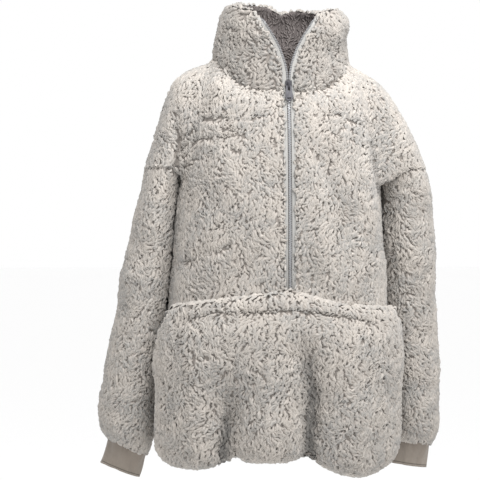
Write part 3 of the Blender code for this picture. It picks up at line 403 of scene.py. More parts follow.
# The locks lie down and away from the middle of the torso. Beside the zip they turn to the tape and
# are shorter. In a row they are drawn together to its middle.
PARTING_GAP = 0.0007
TORSO_Y = -0.010
TAPE_REACH = 0.013
TAPE_PULL = 0.7
TAPE_TRIM = 0.40
LIE_JITTER = math.radians(13)
SWIRL_BROAD = 38
SWIRL_FINE = 90
SWIRL_GAIN = 1.8
ROW_WANDER = 0.016
ROW_PATCHES = 17
ROW_DROOP = 1.2
ROW_DRAW = 0.42
SHORTEST = 0.32
tape_solids = bmesh.new()
for tape in ("zip_tape_right", "zip_tape_left"):
    tape_solids.from_mesh(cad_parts[tape].data)
tapes = BVHTree.FromBMesh(tape_solids)
tape_solids.free()

Pile = namedtuple("Pile", "length width rise sway waves wander spacing outward")
BODY_PILE = Pile(0.0150, 0.0080, 0.0028, 0.0027, 1.2, 42, 0.0040, 0.25)


def lie_of_pile(places, ways, pile, combs, partings, seed):
    """The places moved into their rows, the way each lock lies, and how far it is short."""
    chance = np.random.default_rng(seed)
    jitter = chance.normal(0.0, LIE_JITTER, len(places))
    lies = np.zeros_like(places)
    moved = places.copy()
    short = np.ones(len(places))
    for number in range(len(places)):
        place, way = Vector(places[number]), Vector(ways[number])
        outward = Vector((place.x, place.y - TORSO_Y, 0.0)).normalized() * pile.outward
        down = Vector((outward.x, outward.y, -1.0))
        lie = (down - way * down.dot(way)).normalized()
        near_tape, _, _, distance = tapes.find_nearest(place, TAPE_REACH)
        if near_tape is not None:
            inward = near_tape - place
            inward -= way * inward.dot(way)
            near = 1 - distance / TAPE_REACH
            lie = (lie + inward.normalized() * TAPE_PULL * near).normalized()
            short[number] = 1 - TAPE_TRIM * near
        turn, pitch, pull = comb_turn(place, combs)
        broad = noise.noise(place * SWIRL_BROAD + Vector((seed, 0, 0)))
        fine = noise.noise(place * SWIRL_FINE + Vector((0, seed, 0)))
        angle = turn + math.radians(pile.wander) * SWIRL_GAIN * (broad + 0.6 * fine) + jitter[number]
        if pitch:
            height = place.z + ROW_WANDER * noise.noise(place * ROW_PATCHES)
            height += ROW_DROOP * (place.x * place.x)
            row = height / pitch
            moved[number] += np.array(lie) * (row - round(row)) * pitch * pull * ROW_DRAW
        lie = Matrix.Rotation(-angle, 3, way) @ lie
        if partings and parting_stop(Vector(moved[number]), -lie, PARTING_GAP, partings) < 1:
            moved[number] += np.array(lie) * PARTING_GAP
        stop = parting_stop(Vector(moved[number]), lie, pile.length * 1.1, partings)
        short[number] *= max(SHORTEST, stop)
        lies[number] = lie
    return moved, lies, short


def lock_pattern():
    """One lock, a cone with three sides cut at its stations: where its points are, and its faces."""
    lock = bmesh.new()
    bmesh.ops.create_cone(lock, cap_ends=True, segments=3, radius1=1.0, radius2=0.0, depth=1.0)
    bmesh.ops.remove_doubles(lock, verts=lock.verts, dist=0.0001)
    for station in LOCK_STATIONS:
        parts = lock.verts[:] + lock.edges[:] + lock.faces[:]
        bmesh.ops.bisect_plane(lock, geom=parts, plane_co=(0, 0, station - 0.5), plane_no=(0, 0, 1))
    bmesh.ops.recalc_face_normals(lock, faces=lock.faces)
    lock.verts.index_update()
    points = np.array([v.co for v in lock.verts])
    along = points[:, 2] + 0.5
    girth = np.where(along > 0.999, 1.0, 1.0 - along)
    girths = np.interp(along, *zip(*LOCK_GIRTHS))
    across, up = points[:, 0] / girth * girths, points[:, 1] / girth * girths
    faces = [[v.index for v in face.verts] for face in lock.faces]
    lock.free()
    return along, across, up, faces


def grow_pile(name, cloth, places, ways, lies, short, folds, pile, material, seed):
    """A mesh of locks that follow the cloth from their roots to their tips, marked for painted shade deep
    in the folds.
    """
    along, across, up, faces = lock_pattern()
    chance = np.random.default_rng(seed)
    count = len(places)
    length = pile.length * chance.uniform(0.72, 1.25, count) * short
    width = pile.width * chance.uniform(0.78, 1.2, count)
    rise = pile.rise * chance.uniform(0.80, 1.25, count)
    sway = pile.sway * chance.uniform(0.4, 1.3, count)
    waves = pile.waves * chance.uniform(0.75, 1.25, count)
    tones = chance.random(count)
    # The depth of the folds at each lock, for painted shade deep in the folds.
    painted_fold_shade = np.array([fold_depth(Vector(p), folds) for p in places])
    clump = np.array([noise.noise(Vector(p) * 60) for p in places])
    phase = 2.6 * math.pi * clump + chance.normal(0.0, 0.9, count)
    rise += CLUMP_RISE * np.array([noise.noise(Vector(p) * 48 + Vector((9, 9, 9))) for p in places])
    surface = BVHTree.FromBMesh(cloth)
    knots = np.zeros((count, len(LOCK_KNOTS), 3))
    knot_ways = np.zeros_like(knots)
    for number in range(count):
        place, way, lie = Vector(places[number]), Vector(ways[number]), Vector(lies[number])
        knots[number, 0], knot_ways[number, 0] = place, way
        for k, share in enumerate(LOCK_KNOTS[1:], start=1):
            ahead = place + lie * float(length[number]) * share
            hit, normal, _, _ = surface.find_nearest(ahead)
            if normal.dot(way) < 0.1:
                normal = way
            knots[number, k] = ahead.lerp(hit, LOCK_HUG)
            knot_ways[number, k] = way.lerp(normal, 0.6 * share).normalized()
    weights = np.zeros((len(along), len(LOCK_KNOTS)))
    for k in range(len(LOCK_KNOTS)):
        weights[:, k] = np.interp(along, LOCK_KNOTS, np.eye(len(LOCK_KNOTS))[k])
    line = np.einsum("vk,nkc->nvc", weights, knots)
    normal = np.einsum("vk,nkc->nvc", weights, knot_ways)
    normal /= np.linalg.norm(normal, axis=2)[:, :, None]
    beside = np.cross(ways, lies)[:, None, :]
    swing = 2 * math.pi * waves[:, None] * along[None, :] + phase[:, None]
    side = sway[:, None] * (np.sin(swing) - np.sin(phase)[:, None]) * np.minimum(1.0, along * 2.2)[None, :]
    lift = np.sin(np.minimum(along * 2.1, 1.0) * math.pi / 2) - 0.35 * np.maximum(along - 0.6, 0.0) / 0.4
    lift = rise[:, None] * lift[None, :]
    points = line + beside * side[:, :, None] + normal * lift[:, :, None]
    points += beside * (across[None, :] * width[:, None] / 2)[:, :, None]
    points += normal * (up[None, :] * width[:, None] * LOCK_THICKNESS)[:, :, None]
    round_out = beside * across[None, :, None] + normal * up[None, :, None]
    shading = normal * (1 - LOCK_ROUNDNESS) + round_out * LOCK_ROUNDNESS
    shading /= np.linalg.norm(shading, axis=2)[:, :, None]
    size = len(along)
    loops = [np.array(face) for face in faces]
    starts = np.arange(count) * size
    vertex_loops = np.concatenate([np.concatenate([loop + s for loop in loops]) for s in starts])
    totals = np.tile(np.array([len(face) for face in faces]), count)
    data = bpy.data.meshes.new(name)
    data.vertices.add(count * size)
    data.vertices.foreach_set("co", points.reshape(-1).astype(np.float32))
    data.loops.add(len(vertex_loops))
    data.loops.foreach_set("vertex_index", vertex_loops.astype(np.int32))
    data.polygons.add(len(totals))
    data.polygons.foreach_set("loop_start", np.concatenate([[0], np.cumsum(totals)[:-1]]).astype(np.int32))
    data.polygons.foreach_set("use_smooth", np.ones(len(totals), dtype=bool))
    for label, values in (
        ("tone", np.repeat(tones, size)),
        ("painted_fold_shade", np.repeat(painted_fold_shade, size)),
        ("reach", np.tile(along, count)),
        ("strand", np.tile(across, count) + np.repeat(tones, size) * 7.0),
    ):
        layer = data.attributes.new(label, "FLOAT", "POINT")
        layer.data.foreach_set("value", values.astype(np.float32))
    data.update(calc_edges=True)
    data.validate()
    data.normals_split_custom_set_from_vertices(shading.reshape(-1, 3).tolist())
    data.materials.append(material)
    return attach(linked(name, data), "garment")


def new_material(name, roughness):
    """A material with its nodes, its links and its shader."""
    made = bpy.data.materials.new(name)
    made.use_nodes = True
    shader = made.node_tree.nodes["Principled BSDF"]
    shader.inputs["Roughness"].default_value = roughness
    return made, made.node_tree.nodes, made.node_tree.links, shader


def add_node(nodes, kind, **values):
    """A node with its options and the values of its inputs."""
    node = nodes.new(kind)
    for key, value in values.items():
        if hasattr(node, key):
            setattr(node, key, value)
        else:
            node.inputs[key.replace("_", " ")].default_value = value
    return node


def mixed(nodes, links, share, first, second):
    """A colour between two, each a colour or an output, by the share that comes from an output."""
    node = nodes.new("ShaderNodeMix")
    node.data_type = "RGBA"
    links.new(share, node.inputs[0])
    for socket, value in ((node.inputs[6], first), (node.inputs[7], second)):
        if isinstance(value, tuple):
            socket.default_value = value
        else:
            links.new(value, socket)
    return node.outputs[2]


def texture(nodes, links, kind, **values):
    """A texture that stays with the piece."""
    made = add_node(nodes, kind, **values)
    links.new(nodes.new("ShaderNodeTexCoord").outputs["Object"], made.inputs["Vector"])
    return made


def ranged(nodes, links, value, low, high, to_low=0.0, to_high=1.0):
    """An output brought from the one range into the other."""
    node = add_node(nodes, "ShaderNodeMapRange", From_Min=low, From_Max=high, To_Min=to_low, To_Max=to_high)
    links.new(value, node.inputs["Value"])
    return node.outputs["Result"]


def read_attribute(nodes, name):
    return add_node(nodes, "ShaderNodeAttribute", attribute_name=name).outputs["Fac"]


def sine_of(nodes, links, value, factor):
    """A wave over an output, for strands and wales."""
    dense = add_node(nodes, "ShaderNodeMath", operation="MULTIPLY")
    dense.inputs[1].default_value = factor
    links.new(value, dense.inputs[0])
    wave = add_node(nodes, "ShaderNodeMath", operation="SINE")
    links.new(dense.outputs[0], wave.inputs[0])
    return wave.outputs[0]


def add_relief(nodes, links, shader, height, strength, distance, invert=False):
    """Bump that follows an output."""
    bump = add_node(nodes, "ShaderNodeBump", Strength=strength, Distance=distance, invert=invert)
    links.new(height, bump.inputs["Height"])
    links.new(bump.outputs["Normal"], shader.inputs["Normal"])


def darker(colour, share):
    return tuple(c * share for c in colour[:3]) + (1.0,)


# Deep in a fold the fleece gets painted shade. Its tone there is a share of the plain one, and comes in
# between two depths, never wholly.
FOLD_SHADE_SHARE = 0.40
FOLD_SHADE_FROM = 0.0025
FOLD_SHADE_TO = 0.0150
FOLD_SHADE_MOST = 0.85


def with_painted_fold_shade(nodes, links, colour, shade):
    """The colour, turning to a dark tone of the shade where the fold is deep: painted shade in the folds.
    """
    painted_fold_shade = read_attribute(nodes, "painted_fold_shade")
    share = ranged(nodes, links, painted_fold_shade, FOLD_SHADE_FROM, FOLD_SHADE_TO, 0.0, FOLD_SHADE_MOST)
    return mixed(nodes, links, share, colour, darker(shade, FOLD_SHADE_SHARE))


STRANDS_A_LOCK = 15.0


def pile_material(name, root, grey, cream, sheen):
    """Curly pile: locks each with a tone of their own, in cream and grey patches, with fine strands."""
    made, nodes, links, shader = new_material(name, 0.95)
    patches = texture(nodes, links, "ShaderNodeTexNoise", Scale=21.0, Detail=2.0, Roughness=0.6)
    total = add_node(nodes, "ShaderNodeMath", operation="MULTIPLY_ADD")
    links.new(read_attribute(nodes, "tone"), total.inputs[0])
    total.inputs[1].default_value = 0.45
    links.new(ranged(nodes, links, patches.outputs["Fac"], 0.36, 0.64, 0.0, 0.75), total.inputs[2])
    tip = mixed(nodes, links, total.outputs[0], grey, cream)
    # Along its reach each lock turns from the root colour to its tip colour. On the fleece the root colour
    # is painted light, lighter than the tips, to lift the shade between the locks.
    outward = ranged(nodes, links, read_attribute(nodes, "reach"), 0.12, 0.50)
    colour = mixed(nodes, links, outward, root, tip)
    # Painted shade deep in the folds, over the pile colour.
    links.new(with_painted_fold_shade(nodes, links, colour, grey), shader.inputs["Base Color"])
    strands = sine_of(nodes, links, read_attribute(nodes, "strand"), STRANDS_A_LOCK)
    add_relief(nodes, links, shader, strands, 0.45, 0.0004)
    shader.inputs["Sheen Weight"].default_value = sheen
    shader.inputs["Sheen Roughness"].default_value = 0.5
    shader.inputs["Specular IOR Level"].default_value = 0.15
    return made


def ground_material(name, colour, stitch):
    """The knitted ground below the pile: fine loops, darker between them, and painted shade deep in the
    folds.
    """
    made, nodes, links, shader = new_material(name, 0.92)
    knit = texture(nodes, links, "ShaderNodeTexVoronoi", Scale=stitch)
    between = ranged(nodes, links, knit.outputs["Distance"], 0.1, 0.6)
    loops = mixed(nodes, links, between, colour, darker(colour, 0.72))
    # Painted shade deep in the folds, over the knit colour.
    links.new(with_painted_fold_shade(nodes, links, loops, colour), shader.inputs["Base Color"])
    add_relief(nodes, links, shader, knit.outputs["Distance"], 0.5, 0.0005, invert=True)
    shader.inputs["Sheen Weight"].default_value = 0.2
    return made


GROUND_LOOPS = 620.0
ground_knit = ground_material("fleece_ground", GROUND_TAUPE, GROUND_LOOPS)
pile_look = pile_material("curly_pile", PAINTED_LIGHT_ROOT, PILE_GREY, PILE_CREAM, 0.15)


# A panel with more locks than LOCKS_A_PIECE has its pile in two halves. No lock grows in a narrow
# groove where it is deeper than the bare depth.
LOCKS_A_PIECE = 8600
GROOVE_WIDTH = 0.0070
GROOVE_BARE = 0.0033


def fleece_panel(
    node, wall, depth, pile, folds, partings, combs, seed, look=pile_look
):
    """A fleece piece: its ground in place of the solid, and the pile that grows on it."""
    covers = neighbours_of(node)
    cloth = cloth_copy(node, wall)
    refine(cloth, 2)
    fold_wall(cloth, wall, folds, covers)
    sink_side(cloth, 1, depth, covers, partings)
    ground = smoothed(piece_of(f"fleece_{node}", cloth, ground_knit), CLOTH_CREASE)
    # The depth of the folds at each point, for painted shade deep in the folds.
    painted_fold_shade = ground.data.attributes.new("painted_fold_shade", "FLOAT", "POINT")
    for vert, value in zip(ground.data.vertices, painted_fold_shade.data):
        value.value = fold_depth(vert.co, folds)
    places, ways = root_places(cloth, covers, {1, 0}, pile.spacing, depth, seed)
    grooves = [f for f in folds if f.depth > 0 and f.half_width < GROOVE_WIDTH]
    furry = [n for n, place in enumerate(places) if fold_depth(Vector(place), grooves) < GROOVE_BARE]
    places, ways = places[furry], ways[furry]
    places, lies, short = lie_of_pile(places, ways, pile, combs, partings, seed + 1)
    parts = {"": np.ones(len(places), dtype=bool)}
    if len(places) > LOCKS_A_PIECE:
        parts = {"_right": places[:, 0] < 0, "_left": places[:, 0] >= 0}
    for mark, part in parts.items():
        grow_pile(
            f"pile_{node}{mark}", cloth, places[part], ways[part], lies[part], short[part], folds,
            pile, look, seed + 2,
        )
    cloth.free()
    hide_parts(node)


fleece_panel(
    "front", FLEECE_WALL, PILE_DEPTH, BODY_PILE, FRONT_FOLDS, FRONT_PARTINGS, FRONT_COMBS,
    seed=11,
)

# Back panel. The same fleece in one piece, from the neck down to the rolled edge, with the back of
# the upper arms. It hangs in long soft folds from the shoulders.
BACK_FOLDS = (
    Fold(0.014, 0.0035, ((-0.150, -0.085, 0.4), (-0.060, -0.078, 1.0), (0.020, -0.082, 0.3))),
    Fold(0.013, 0.0030, ((-0.010, -0.118, 0.3), (0.070, -0.124, 1.0), (0.150, -0.118, 0.4))),
    Fold(0.018, 0.0055, (
        (-0.080, -0.200, 0.2), (-0.070, -0.330, 1.0), (-0.085, -0.480, 0.8), (-0.080, -0.650, 0.5),
    )),
    Fold(0.020, -0.0050, ((-0.020, -0.250, 0.2), (-0.015, -0.400, 1.0), (-0.025, -0.640, 0.8))),
    Fold(0.016, 0.0050, ((0.040, -0.300, 0.2), (0.050, -0.450, 1.0), (0.040, -0.660, 0.7))),
    Fold(0.022, -0.0045, ((0.110, -0.220, 0.3), (0.105, -0.400, 1.0), (0.110, -0.600, 0.6))),
    Fold(0.008, 0.0060, ((-0.160, -0.110, 0.4), (-0.165, -0.160, 1.0), (-0.172, -0.260, 0.8))),
    Fold(0.008, 0.0060, ((0.160, -0.110, 0.4), (0.168, -0.160, 1.0), (0.176, -0.270, 0.8))),
)
BACK_PARTINGS = (
    Parting(-0.120, -0.102, -0.070, -0.098),
    Parting(-0.055, -0.124, -0.010, -0.128),
    Parting(0.030, -0.101, 0.085, -0.106),
    Parting(0.060, -0.142, 0.100, -0.138),
    Parting(-0.140, -0.205, -0.115, -0.188),
    Parting(0.120, -0.215, 0.142, -0.232),
)
BACK_COMBS = (
    Comb(-0.090, -0.100, 0.060, -14, 0.0150),
    Comb(0.080, -0.115, 0.060, 16, 0.0150),
    Comb(-0.150, -0.250, 0.060, -30, 0),
    Comb(0.150, -0.230, 0.060, 32, 0),
    Comb(0.000, -0.330, 0.060, 18, 0),
    Comb(-0.060, -0.470, 0.050, -20, 0),
)
BACK_PILE = BODY_PILE._replace(spacing=0.0050, width=0.0092)

fleece_panel(
    "back", FLEECE_WALL, PILE_DEPTH, BACK_PILE, BACK_FOLDS, BACK_PARTINGS, BACK_COMBS,
    seed=23,
)

# Sleeves. One tube of the fleece each, set on with a drop shoulder seam well down the upper arm. It
# hangs in soft cross folds and blouses over the cuff.
SLEEVE_COMBS = (
    Comb(-0.270, -0.330, 0.060, -12, 0),
    Comb(-0.290, -0.560, 0.060, 10, 0),
    Comb(0.275, -0.300, 0.060, 14, 0),
    Comb(0.280, -0.500, 0.060, -8, 0),
)
SLEEVE_FOLDS = (
    Fold(0.013, 0.0035, ((-0.320, -0.282, 0.3), (-0.275, -0.296, 1.0), (-0.225, -0.300, 0.4))),
    Fold(0.014, 0.0040, ((-0.320, -0.400, 0.4), (-0.285, -0.424, 1.0), (-0.240, -0.418, 0.5))),
    Fold(0.012, 0.0035, ((-0.320, -0.540, 0.6), (-0.280, -0.548, 1.0), (-0.240, -0.532, 0.4))),
    Fold(0.014, -0.0035, ((-0.320, -0.350, 0.6), (-0.270, -0.362, 1.0), (-0.230, -0.355, 0.5))),
    Fold(0.013, 0.0035, ((0.210, -0.262, 0.5), (0.250, -0.250, 1.0), (0.300, -0.262, 0.4))),
    Fold(0.014, 0.0040, ((0.215, -0.388, 0.5), (0.255, -0.405, 1.0), (0.300, -0.392, 0.4))),
    Fold(0.012, 0.0035, ((0.220, -0.552, 0.4), (0.260, -0.566, 1.0), (0.300, -0.560, 0.6))),
    Fold(0.014, -0.0035, ((0.215, -0.325, 0.6), (0.255, -0.332, 1.0), (0.300, -0.322, 0.5))),
)
for side, seed, girth in (("right", 37, 0.39), ("left", 41, 0.40)):
    fleece_panel(
        f"sleeve_{side}", FLEECE_WALL, PILE_DEPTH, BODY_PILE, SLEEVE_FOLDS, (), SLEEVE_COMBS,
        seed=seed,
    )

# Pocket. A kangaroo pocket of the same fleece, sewn on along its foot and sides below slanted
# mouths. Its top hem is turned down and stitched, so the pile parts along the stitches.
POCKET_WALL = 0.009
POCKET_DEPTH = PILE_DEPTH - 0.0002
POCKET_PILE = BODY_PILE._replace(rise=0.0034, spacing=0.0042, sway=0.0030)
POCKET_COMBS = (
    Comb(-0.120, -0.480, 0.050, -12, 0),
    Comb(0.020, -0.470, 0.040, 10, 0),
    Comb(0.130, -0.500, 0.050, 14, 0),
    Comb(0.000, -0.600, 0.050, -10, 0),
)

# The stitch lines along the top hem and down the two mouths, where the pile parts.
POCKET_HEM = (
    (-0.1697, -0.4332), (-0.1504, -0.4266), (-0.1216, -0.4208), (-0.0586, -0.4208), (-0.0255, -0.4184),
    (0.0142, -0.4167), (0.0490, -0.4225), (0.1004, -0.4294), (0.1435, -0.4407),
)
POCKET_SIDES = (
    ((-0.1789, -0.4332), (-0.1817, -0.4595), (-0.1910, -0.4841), (-0.1960, -0.5187)),
    ((0.1551, -0.4332), (0.1634, -0.4595), (0.1716, -0.4841), (0.1766, -0.5236)),
)

# The valleys between the three lobes, each with a narrow furry core.
RIGHT_VALLEY = (
    (0.013, -0.430, 0.15), (0.027, -0.500, 0.55), (0.0375, -0.563, 0.9), (0.031, -0.637, 1.0),
    (0.031, -0.700, 1.0),
)
LEFT_VALLEY = ((-0.097, -0.515, 0.15), (-0.102, -0.593, 0.8), (-0.110, -0.637, 1.0), (-0.107, -0.700, 1.0))
POCKET_FOLDS = (
    Fold(0.0045, 0.0030, tuple((x, z, 1.0) for x, z in POCKET_HEM)),
    Fold(0.0065, -0.0028, tuple((x, z + 0.009, 1.0) for x, z in POCKET_HEM)),
    Fold(0.0045, 0.0030, tuple((x, z, 1.0) for x, z in POCKET_SIDES[0])),
    Fold(0.0045, 0.0030, tuple((x, z, 1.0) for x, z in POCKET_SIDES[1])),
    Fold(0.020, 0.0110, RIGHT_VALLEY),
    Fold(0.0075, 0.0070, RIGHT_VALLEY[1:]),
    Fold(0.019, 0.0100, LEFT_VALLEY),
    Fold(0.0075, 0.0070, LEFT_VALLEY[1:]),
    Fold(0.026, -0.0120, ((-0.155, -0.500, 0.3), (-0.158, -0.590, 1.0), (-0.160, -0.690, 0.9))),
    Fold(0.028, -0.0130, ((-0.040, -0.500, 0.3), (-0.036, -0.600, 1.0), (-0.038, -0.680, 0.9))),
    Fold(0.034, -0.0130, ((0.095, -0.460, 0.4), (0.100, -0.570, 1.0), (0.105, -0.690, 0.9))),
)
POCKET_PARTINGS = tuple(Parting(*a, *b) for a, b in zip(POCKET_HEM, POCKET_HEM[1:])) + tuple(
    Parting(*a, *b) for side in POCKET_SIDES for a, b in zip(side, side[1:])
)
fleece_panel(
    "pocket", POCKET_WALL, POCKET_DEPTH, POCKET_PILE, POCKET_FOLDS, POCKET_PARTINGS, POCKET_COMBS,
    seed=53,
)

# Collar. A tall stand collar of the fleece, open at the front with the zip, where the pile is ruffled in
# all directions and curls over the top edge. Its pile colours are painted shade: a darker copy of the
# fleece's.
# Painted shade: the fleece's pile colours made darker for the collar, with the root still lighter than the
# tips as painted light.
SHADED_COLLAR_ROOT = (0.420, 0.385, 0.353, 1.0)
SHADED_COLLAR_GREY = (0.252, 0.245, 0.233, 1.0)
SHADED_COLLAR_CREAM = (0.356, 0.329, 0.299, 1.0)
shaded_collar_look = pile_material("shaded_collar_pile", SHADED_COLLAR_ROOT, SHADED_COLLAR_GREY, SHADED_COLLAR_CREAM, 0.15)
COLLAR_PILE = Pile(0.0130, 0.0078, 0.0031, 0.0020, 1.1, 75, 0.0040, 0.25)
COLLAR_FOLDS = (
    Fold(0.012, 0.0025, ((-0.110, 0.030, 0.5), (-0.080, 0.020, 1.0), (-0.050, 0.026, 0.5))),
    Fold(0.012, 0.0025, ((0.045, 0.016, 0.5), (0.080, 0.022, 1.0), (0.110, 0.014, 0.5))),
)
fleece_panel(
    "collar", FLEECE_WALL, PILE_DEPTH, COLLAR_PILE, COLLAR_FOLDS, (), (), seed=67,
    look=shaded_collar_look,
)

# Collar lining. A facing with a short pile in brownish grey, sewn inside the collar from its top edge
# down round the neck. It shows in the open V above the zip.
LINING_WALL = 0.003
LINING_DEPTH = 0.0010
LINING_LOOPS = 700.0
LINING_ROOT = (0.150, 0.125, 0.119, 1.0)
LINING_DARK = (0.120, 0.102, 0.098, 1.0)
LINING_LIGHT = (0.175, 0.154, 0.147, 1.0)
LINING_PILE = Pile(0.0070, 0.0032, 0.0019, 0.0006, 0.8, 60, 0.0036, 0.1)
lining_look = pile_material("lining_pile", LINING_ROOT, LINING_DARK, LINING_LIGHT, 0.25)
lining_ground = ground_material("lining_ground", LINING_DARK, LINING_LOOPS)

lining = cloth_copy("collar_lining", LINING_WALL)
refine(lining, 1)
sink_side(lining, 2, LINING_DEPTH)
facing = smoothed(piece_of("facing_collar", lining, lining_ground), CLOTH_CREASE)
covers = neighbours_of("collar_lining")
places, ways = root_places(lining, covers, {2}, LINING_PILE.spacing, LINING_DEPTH, seed=71)
places, lies, short = lie_of_pile(places, ways, LINING_PILE, (), (), seed=72)
facing_pile = grow_pile(
    "facing_pile", lining, places, ways, lies, short, (), LINING_PILE, lining_look, seed=73
)
lining.free()
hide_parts("collar_lining")

# Cuffs and hem band. Plain knitted jersey, doubled and stitched: the cuffs show beneath the bloused
# sleeves, and the band lies inside the rolled bottom edge and shows in its valleys.
JERSEY_WALL = 0.0025
JERSEY_TAUPE = (0.235, 0.203, 0.171, 1.0)
JERSEY_DARK = (0.180, 0.152, 0.126, 1.0)
STITCH_DARK = (0.085, 0.072, 0.060, 1.0)
RIB_PITCH = 0.0022
PUCKER = 0.0012
STITCH_RISE = 0.0045
STITCH_WIDE = 0.0008
# The rise over which a painted shadow comes in, darkest at the top edge under the overhanging pile.
PAINTED_SHADOW_RISE = (0.014, 0.034)


def jersey_material(name):
    """Fine wales from the turn attribute, a faint mottle, a stitch line, and painted shadow below the pile.
    """
    made, nodes, links, shader = new_material(name, 0.9)
    wales = sine_of(nodes, links, read_attribute(nodes, "turn"), 2 * math.pi / RIB_PITCH)
    mottle = texture(nodes, links, "ShaderNodeTexNoise", Scale=160.0, Detail=3.0)
    patches = ranged(nodes, links, mottle.outputs["Fac"], 0.35, 0.7, 0.0, 0.4)
    shade = mixed(nodes, links, patches, JERSEY_TAUPE, JERSEY_DARK)
    between = ranged(nodes, links, wales, -1.0, 0.2, 0.45, 0.0)
    knit = mixed(nodes, links, between, shade, JERSEY_DARK)
    rise = read_attribute(nodes, "rise")
    stitch = add_node(nodes, "ShaderNodeMath", operation="COMPARE")
    stitch.inputs[1].default_value = STITCH_RISE
    stitch.inputs[2].default_value = STITCH_WIDE
    links.new(rise, stitch.inputs[0])
    # Painted shadow: darker towards the top edge, where the pile overhangs.
    painted_shadow = ranged(nodes, links, rise, *PAINTED_SHADOW_RISE, 0.0, 0.6)
    knit = mixed(nodes, links, painted_shadow, knit, JERSEY_DARK)
    links.new(mixed(nodes, links, stitch.outputs[0], knit, STITCH_DARK), shader.inputs["Base Color"])
    add_relief(nodes, links, shader, wales, 0.5, 0.0004)
    shader.inputs["Sheen Weight"].default_value = 0.2
    return made


jersey = jersey_material("jersey_knit")


def lower_rim(cloth, centre):
    """The way up from the lower open end, square to it."""
    side = cloth.faces.layers.int["side"]
    rim = [f for f in cloth.faces if f[side] == 0 and f.calc_center_median().z < centre.z]
    return -sum((f.normal * f.calc_area() for f in rim), Vector()).normalized()


def add_turn(piece, centre, axis):
    """The way round the piece along its mean girth, and the rise above its lower edge, as attributes."""
    data = piece.data
    foot = min(v.co.dot(axis) for v in data.vertices)
    rise = data.attributes.new("rise", "FLOAT", "POINT")
    for vert, value in zip(data.vertices, rise.data):
        value.value = vert.co.dot(axis) - foot
    radii = [math.hypot(v.co.x - centre.x, v.co.y - centre.y) for v in data.vertices]
    radius = sum(radii) / len(radii)
    layer = data.attributes.new("turn", "FLOAT", "POINT")
    for vert, value in zip(data.vertices, layer.data):
        value.value = math.atan2(vert.co.y - centre.y, vert.co.x - centre.x) * radius


for node, flat, area, rests_on in (
    ("cuff_right", (0.20, 0.052), 0.0088, ["sleeve_right"]),
    ("cuff_left", (0.20, 0.052), 0.0088, ["sleeve_left"]),
    ("hem_band", (0.86, 0.040), 0.0232, ["front", "back"]),
):
    cloth = cloth_copy(node, JERSEY_WALL)
    refine(cloth, 1)
    refine(cloth, 1)
    centre = sum((v.co for v in cloth.verts), Vector()) / len(cloth.verts)
    up = lower_rim(cloth, centre)
    for vert in cloth.verts:
        turn = math.atan2(vert.co.y - centre.y, vert.co.x - centre.x)
        wave = math.sin(turn * 5 + 40 * vert.co.z) + 0.6 * math.sin(turn * 11 - 60 * vert.co.z)
        vert.co += Vector((math.cos(turn), math.sin(turn), 0)) * PUCKER * wave
    piece = smoothed(piece_of(f"jersey_{node}", cloth, jersey), CLOTH_CREASE)
    add_turn(piece, centre, up)
    cloth.free()
    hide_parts(node)

# Zip tapes. Woven tape in a pale greyish white, sewn in under the edges of the slit and up the two
# front edges of the collar.
TAPE_PALE = (0.370, 0.365, 0.350, 1.0)
TAPE_SHADE = (0.280, 0.275, 0.264, 1.0)
TAPE_EDGE = 0.0003
HARD_CREASE = 35


def tape_material(name):
    """Fine ribs across the tape."""
    made, nodes, links, shader = new_material(name, 0.85)
    ribs = texture(
        nodes, links, "ShaderNodeTexWave", bands_direction="Z", Scale=320.0, Distortion=1.5, Detail=1.0
    )
    links.new(mixed(nodes, links, ribs.outputs["Fac"], TAPE_SHADE, TAPE_PALE), shader.inputs["Base Color"])
    add_relief(nodes, links, shader, ribs.outputs["Fac"], 0.4, 0.0002)
    shader.inputs["Sheen Weight"].default_value = 0.2
    return made


def hard_piece(name, node, material, bevel, segments, body):
    """A copy of a node with its sharp edges rounded."""
    made = welded(node)
    bmesh.ops.dissolve_limit(made, angle_limit=math.radians(1), verts=made.verts, edges=made.edges)
    sharp = [e for e in made.edges if len(e.link_faces) == 2 and e.calc_face_angle(0) > math.radians(50)]
    bmesh.ops.bevel(
        made, geom=sharp, offset=bevel, segments=segments, profile=0.5, affect="EDGES",
        clamp_overlap=True, material=-1,
    )
    piece = smoothed(piece_of(name, made, material, body), HARD_CREASE)
    made.free()
    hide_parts(node)


tape_look = tape_material("woven_tape")
for side in ("right", "left"):
    hard_piece(f"tape_{side}", f"zip_tape_{side}", tape_look, TAPE_EDGE, 1, "garment")

# Zip chain. Moulded teeth in silver grey, meshed below the slider and open in two half chains
# above it, on a cord along the edge of each tape.
SILVER = (0.350, 0.352, 0.360, 1.0)
CORD_GREY = (0.200, 0.200, 0.210, 1.0)
TOOTH_PITCH = 0.0030
TOOTH_WIDE = 0.0036
TOOTH_TALL = 0.0017
TOOTH_THICK = 0.0026
TOOTH_EDGE = 0.0004
FIRST_TOOTH = 0.6
MESHED_SHIFT = 0.0010
OPEN_SHIFT = 0.0004
CORD_SHARE = 0.55


def metal_material(name, colour, roughness, metallic):
    """A metal or cord with slight wear in its colour and its gloss."""
    made, nodes, links, shader = new_material(name, roughness)
    wear = texture(nodes, links, "ShaderNodeTexNoise", Scale=700.0, Detail=3.0)
    worn = mixed(nodes, links, wear.outputs["Fac"], darker(colour, 0.7), colour)
    links.new(worn, shader.inputs["Base Color"])
    gloss = ranged(nodes, links, wear.outputs["Fac"], 0.3, 0.7, roughness - 0.08, roughness + 0.1)
    links.new(gloss, shader.inputs["Roughness"])
    add_relief(nodes, links, shader, wear.outputs["Fac"], 0.15, 0.0001)
    shader.inputs["Metallic"].default_value = metallic
    return made


silver = metal_material("silver_teeth", SILVER, 0.38, 0.6)
cord = metal_material("chain_cord", CORD_GREY, 0.7, 0.0)


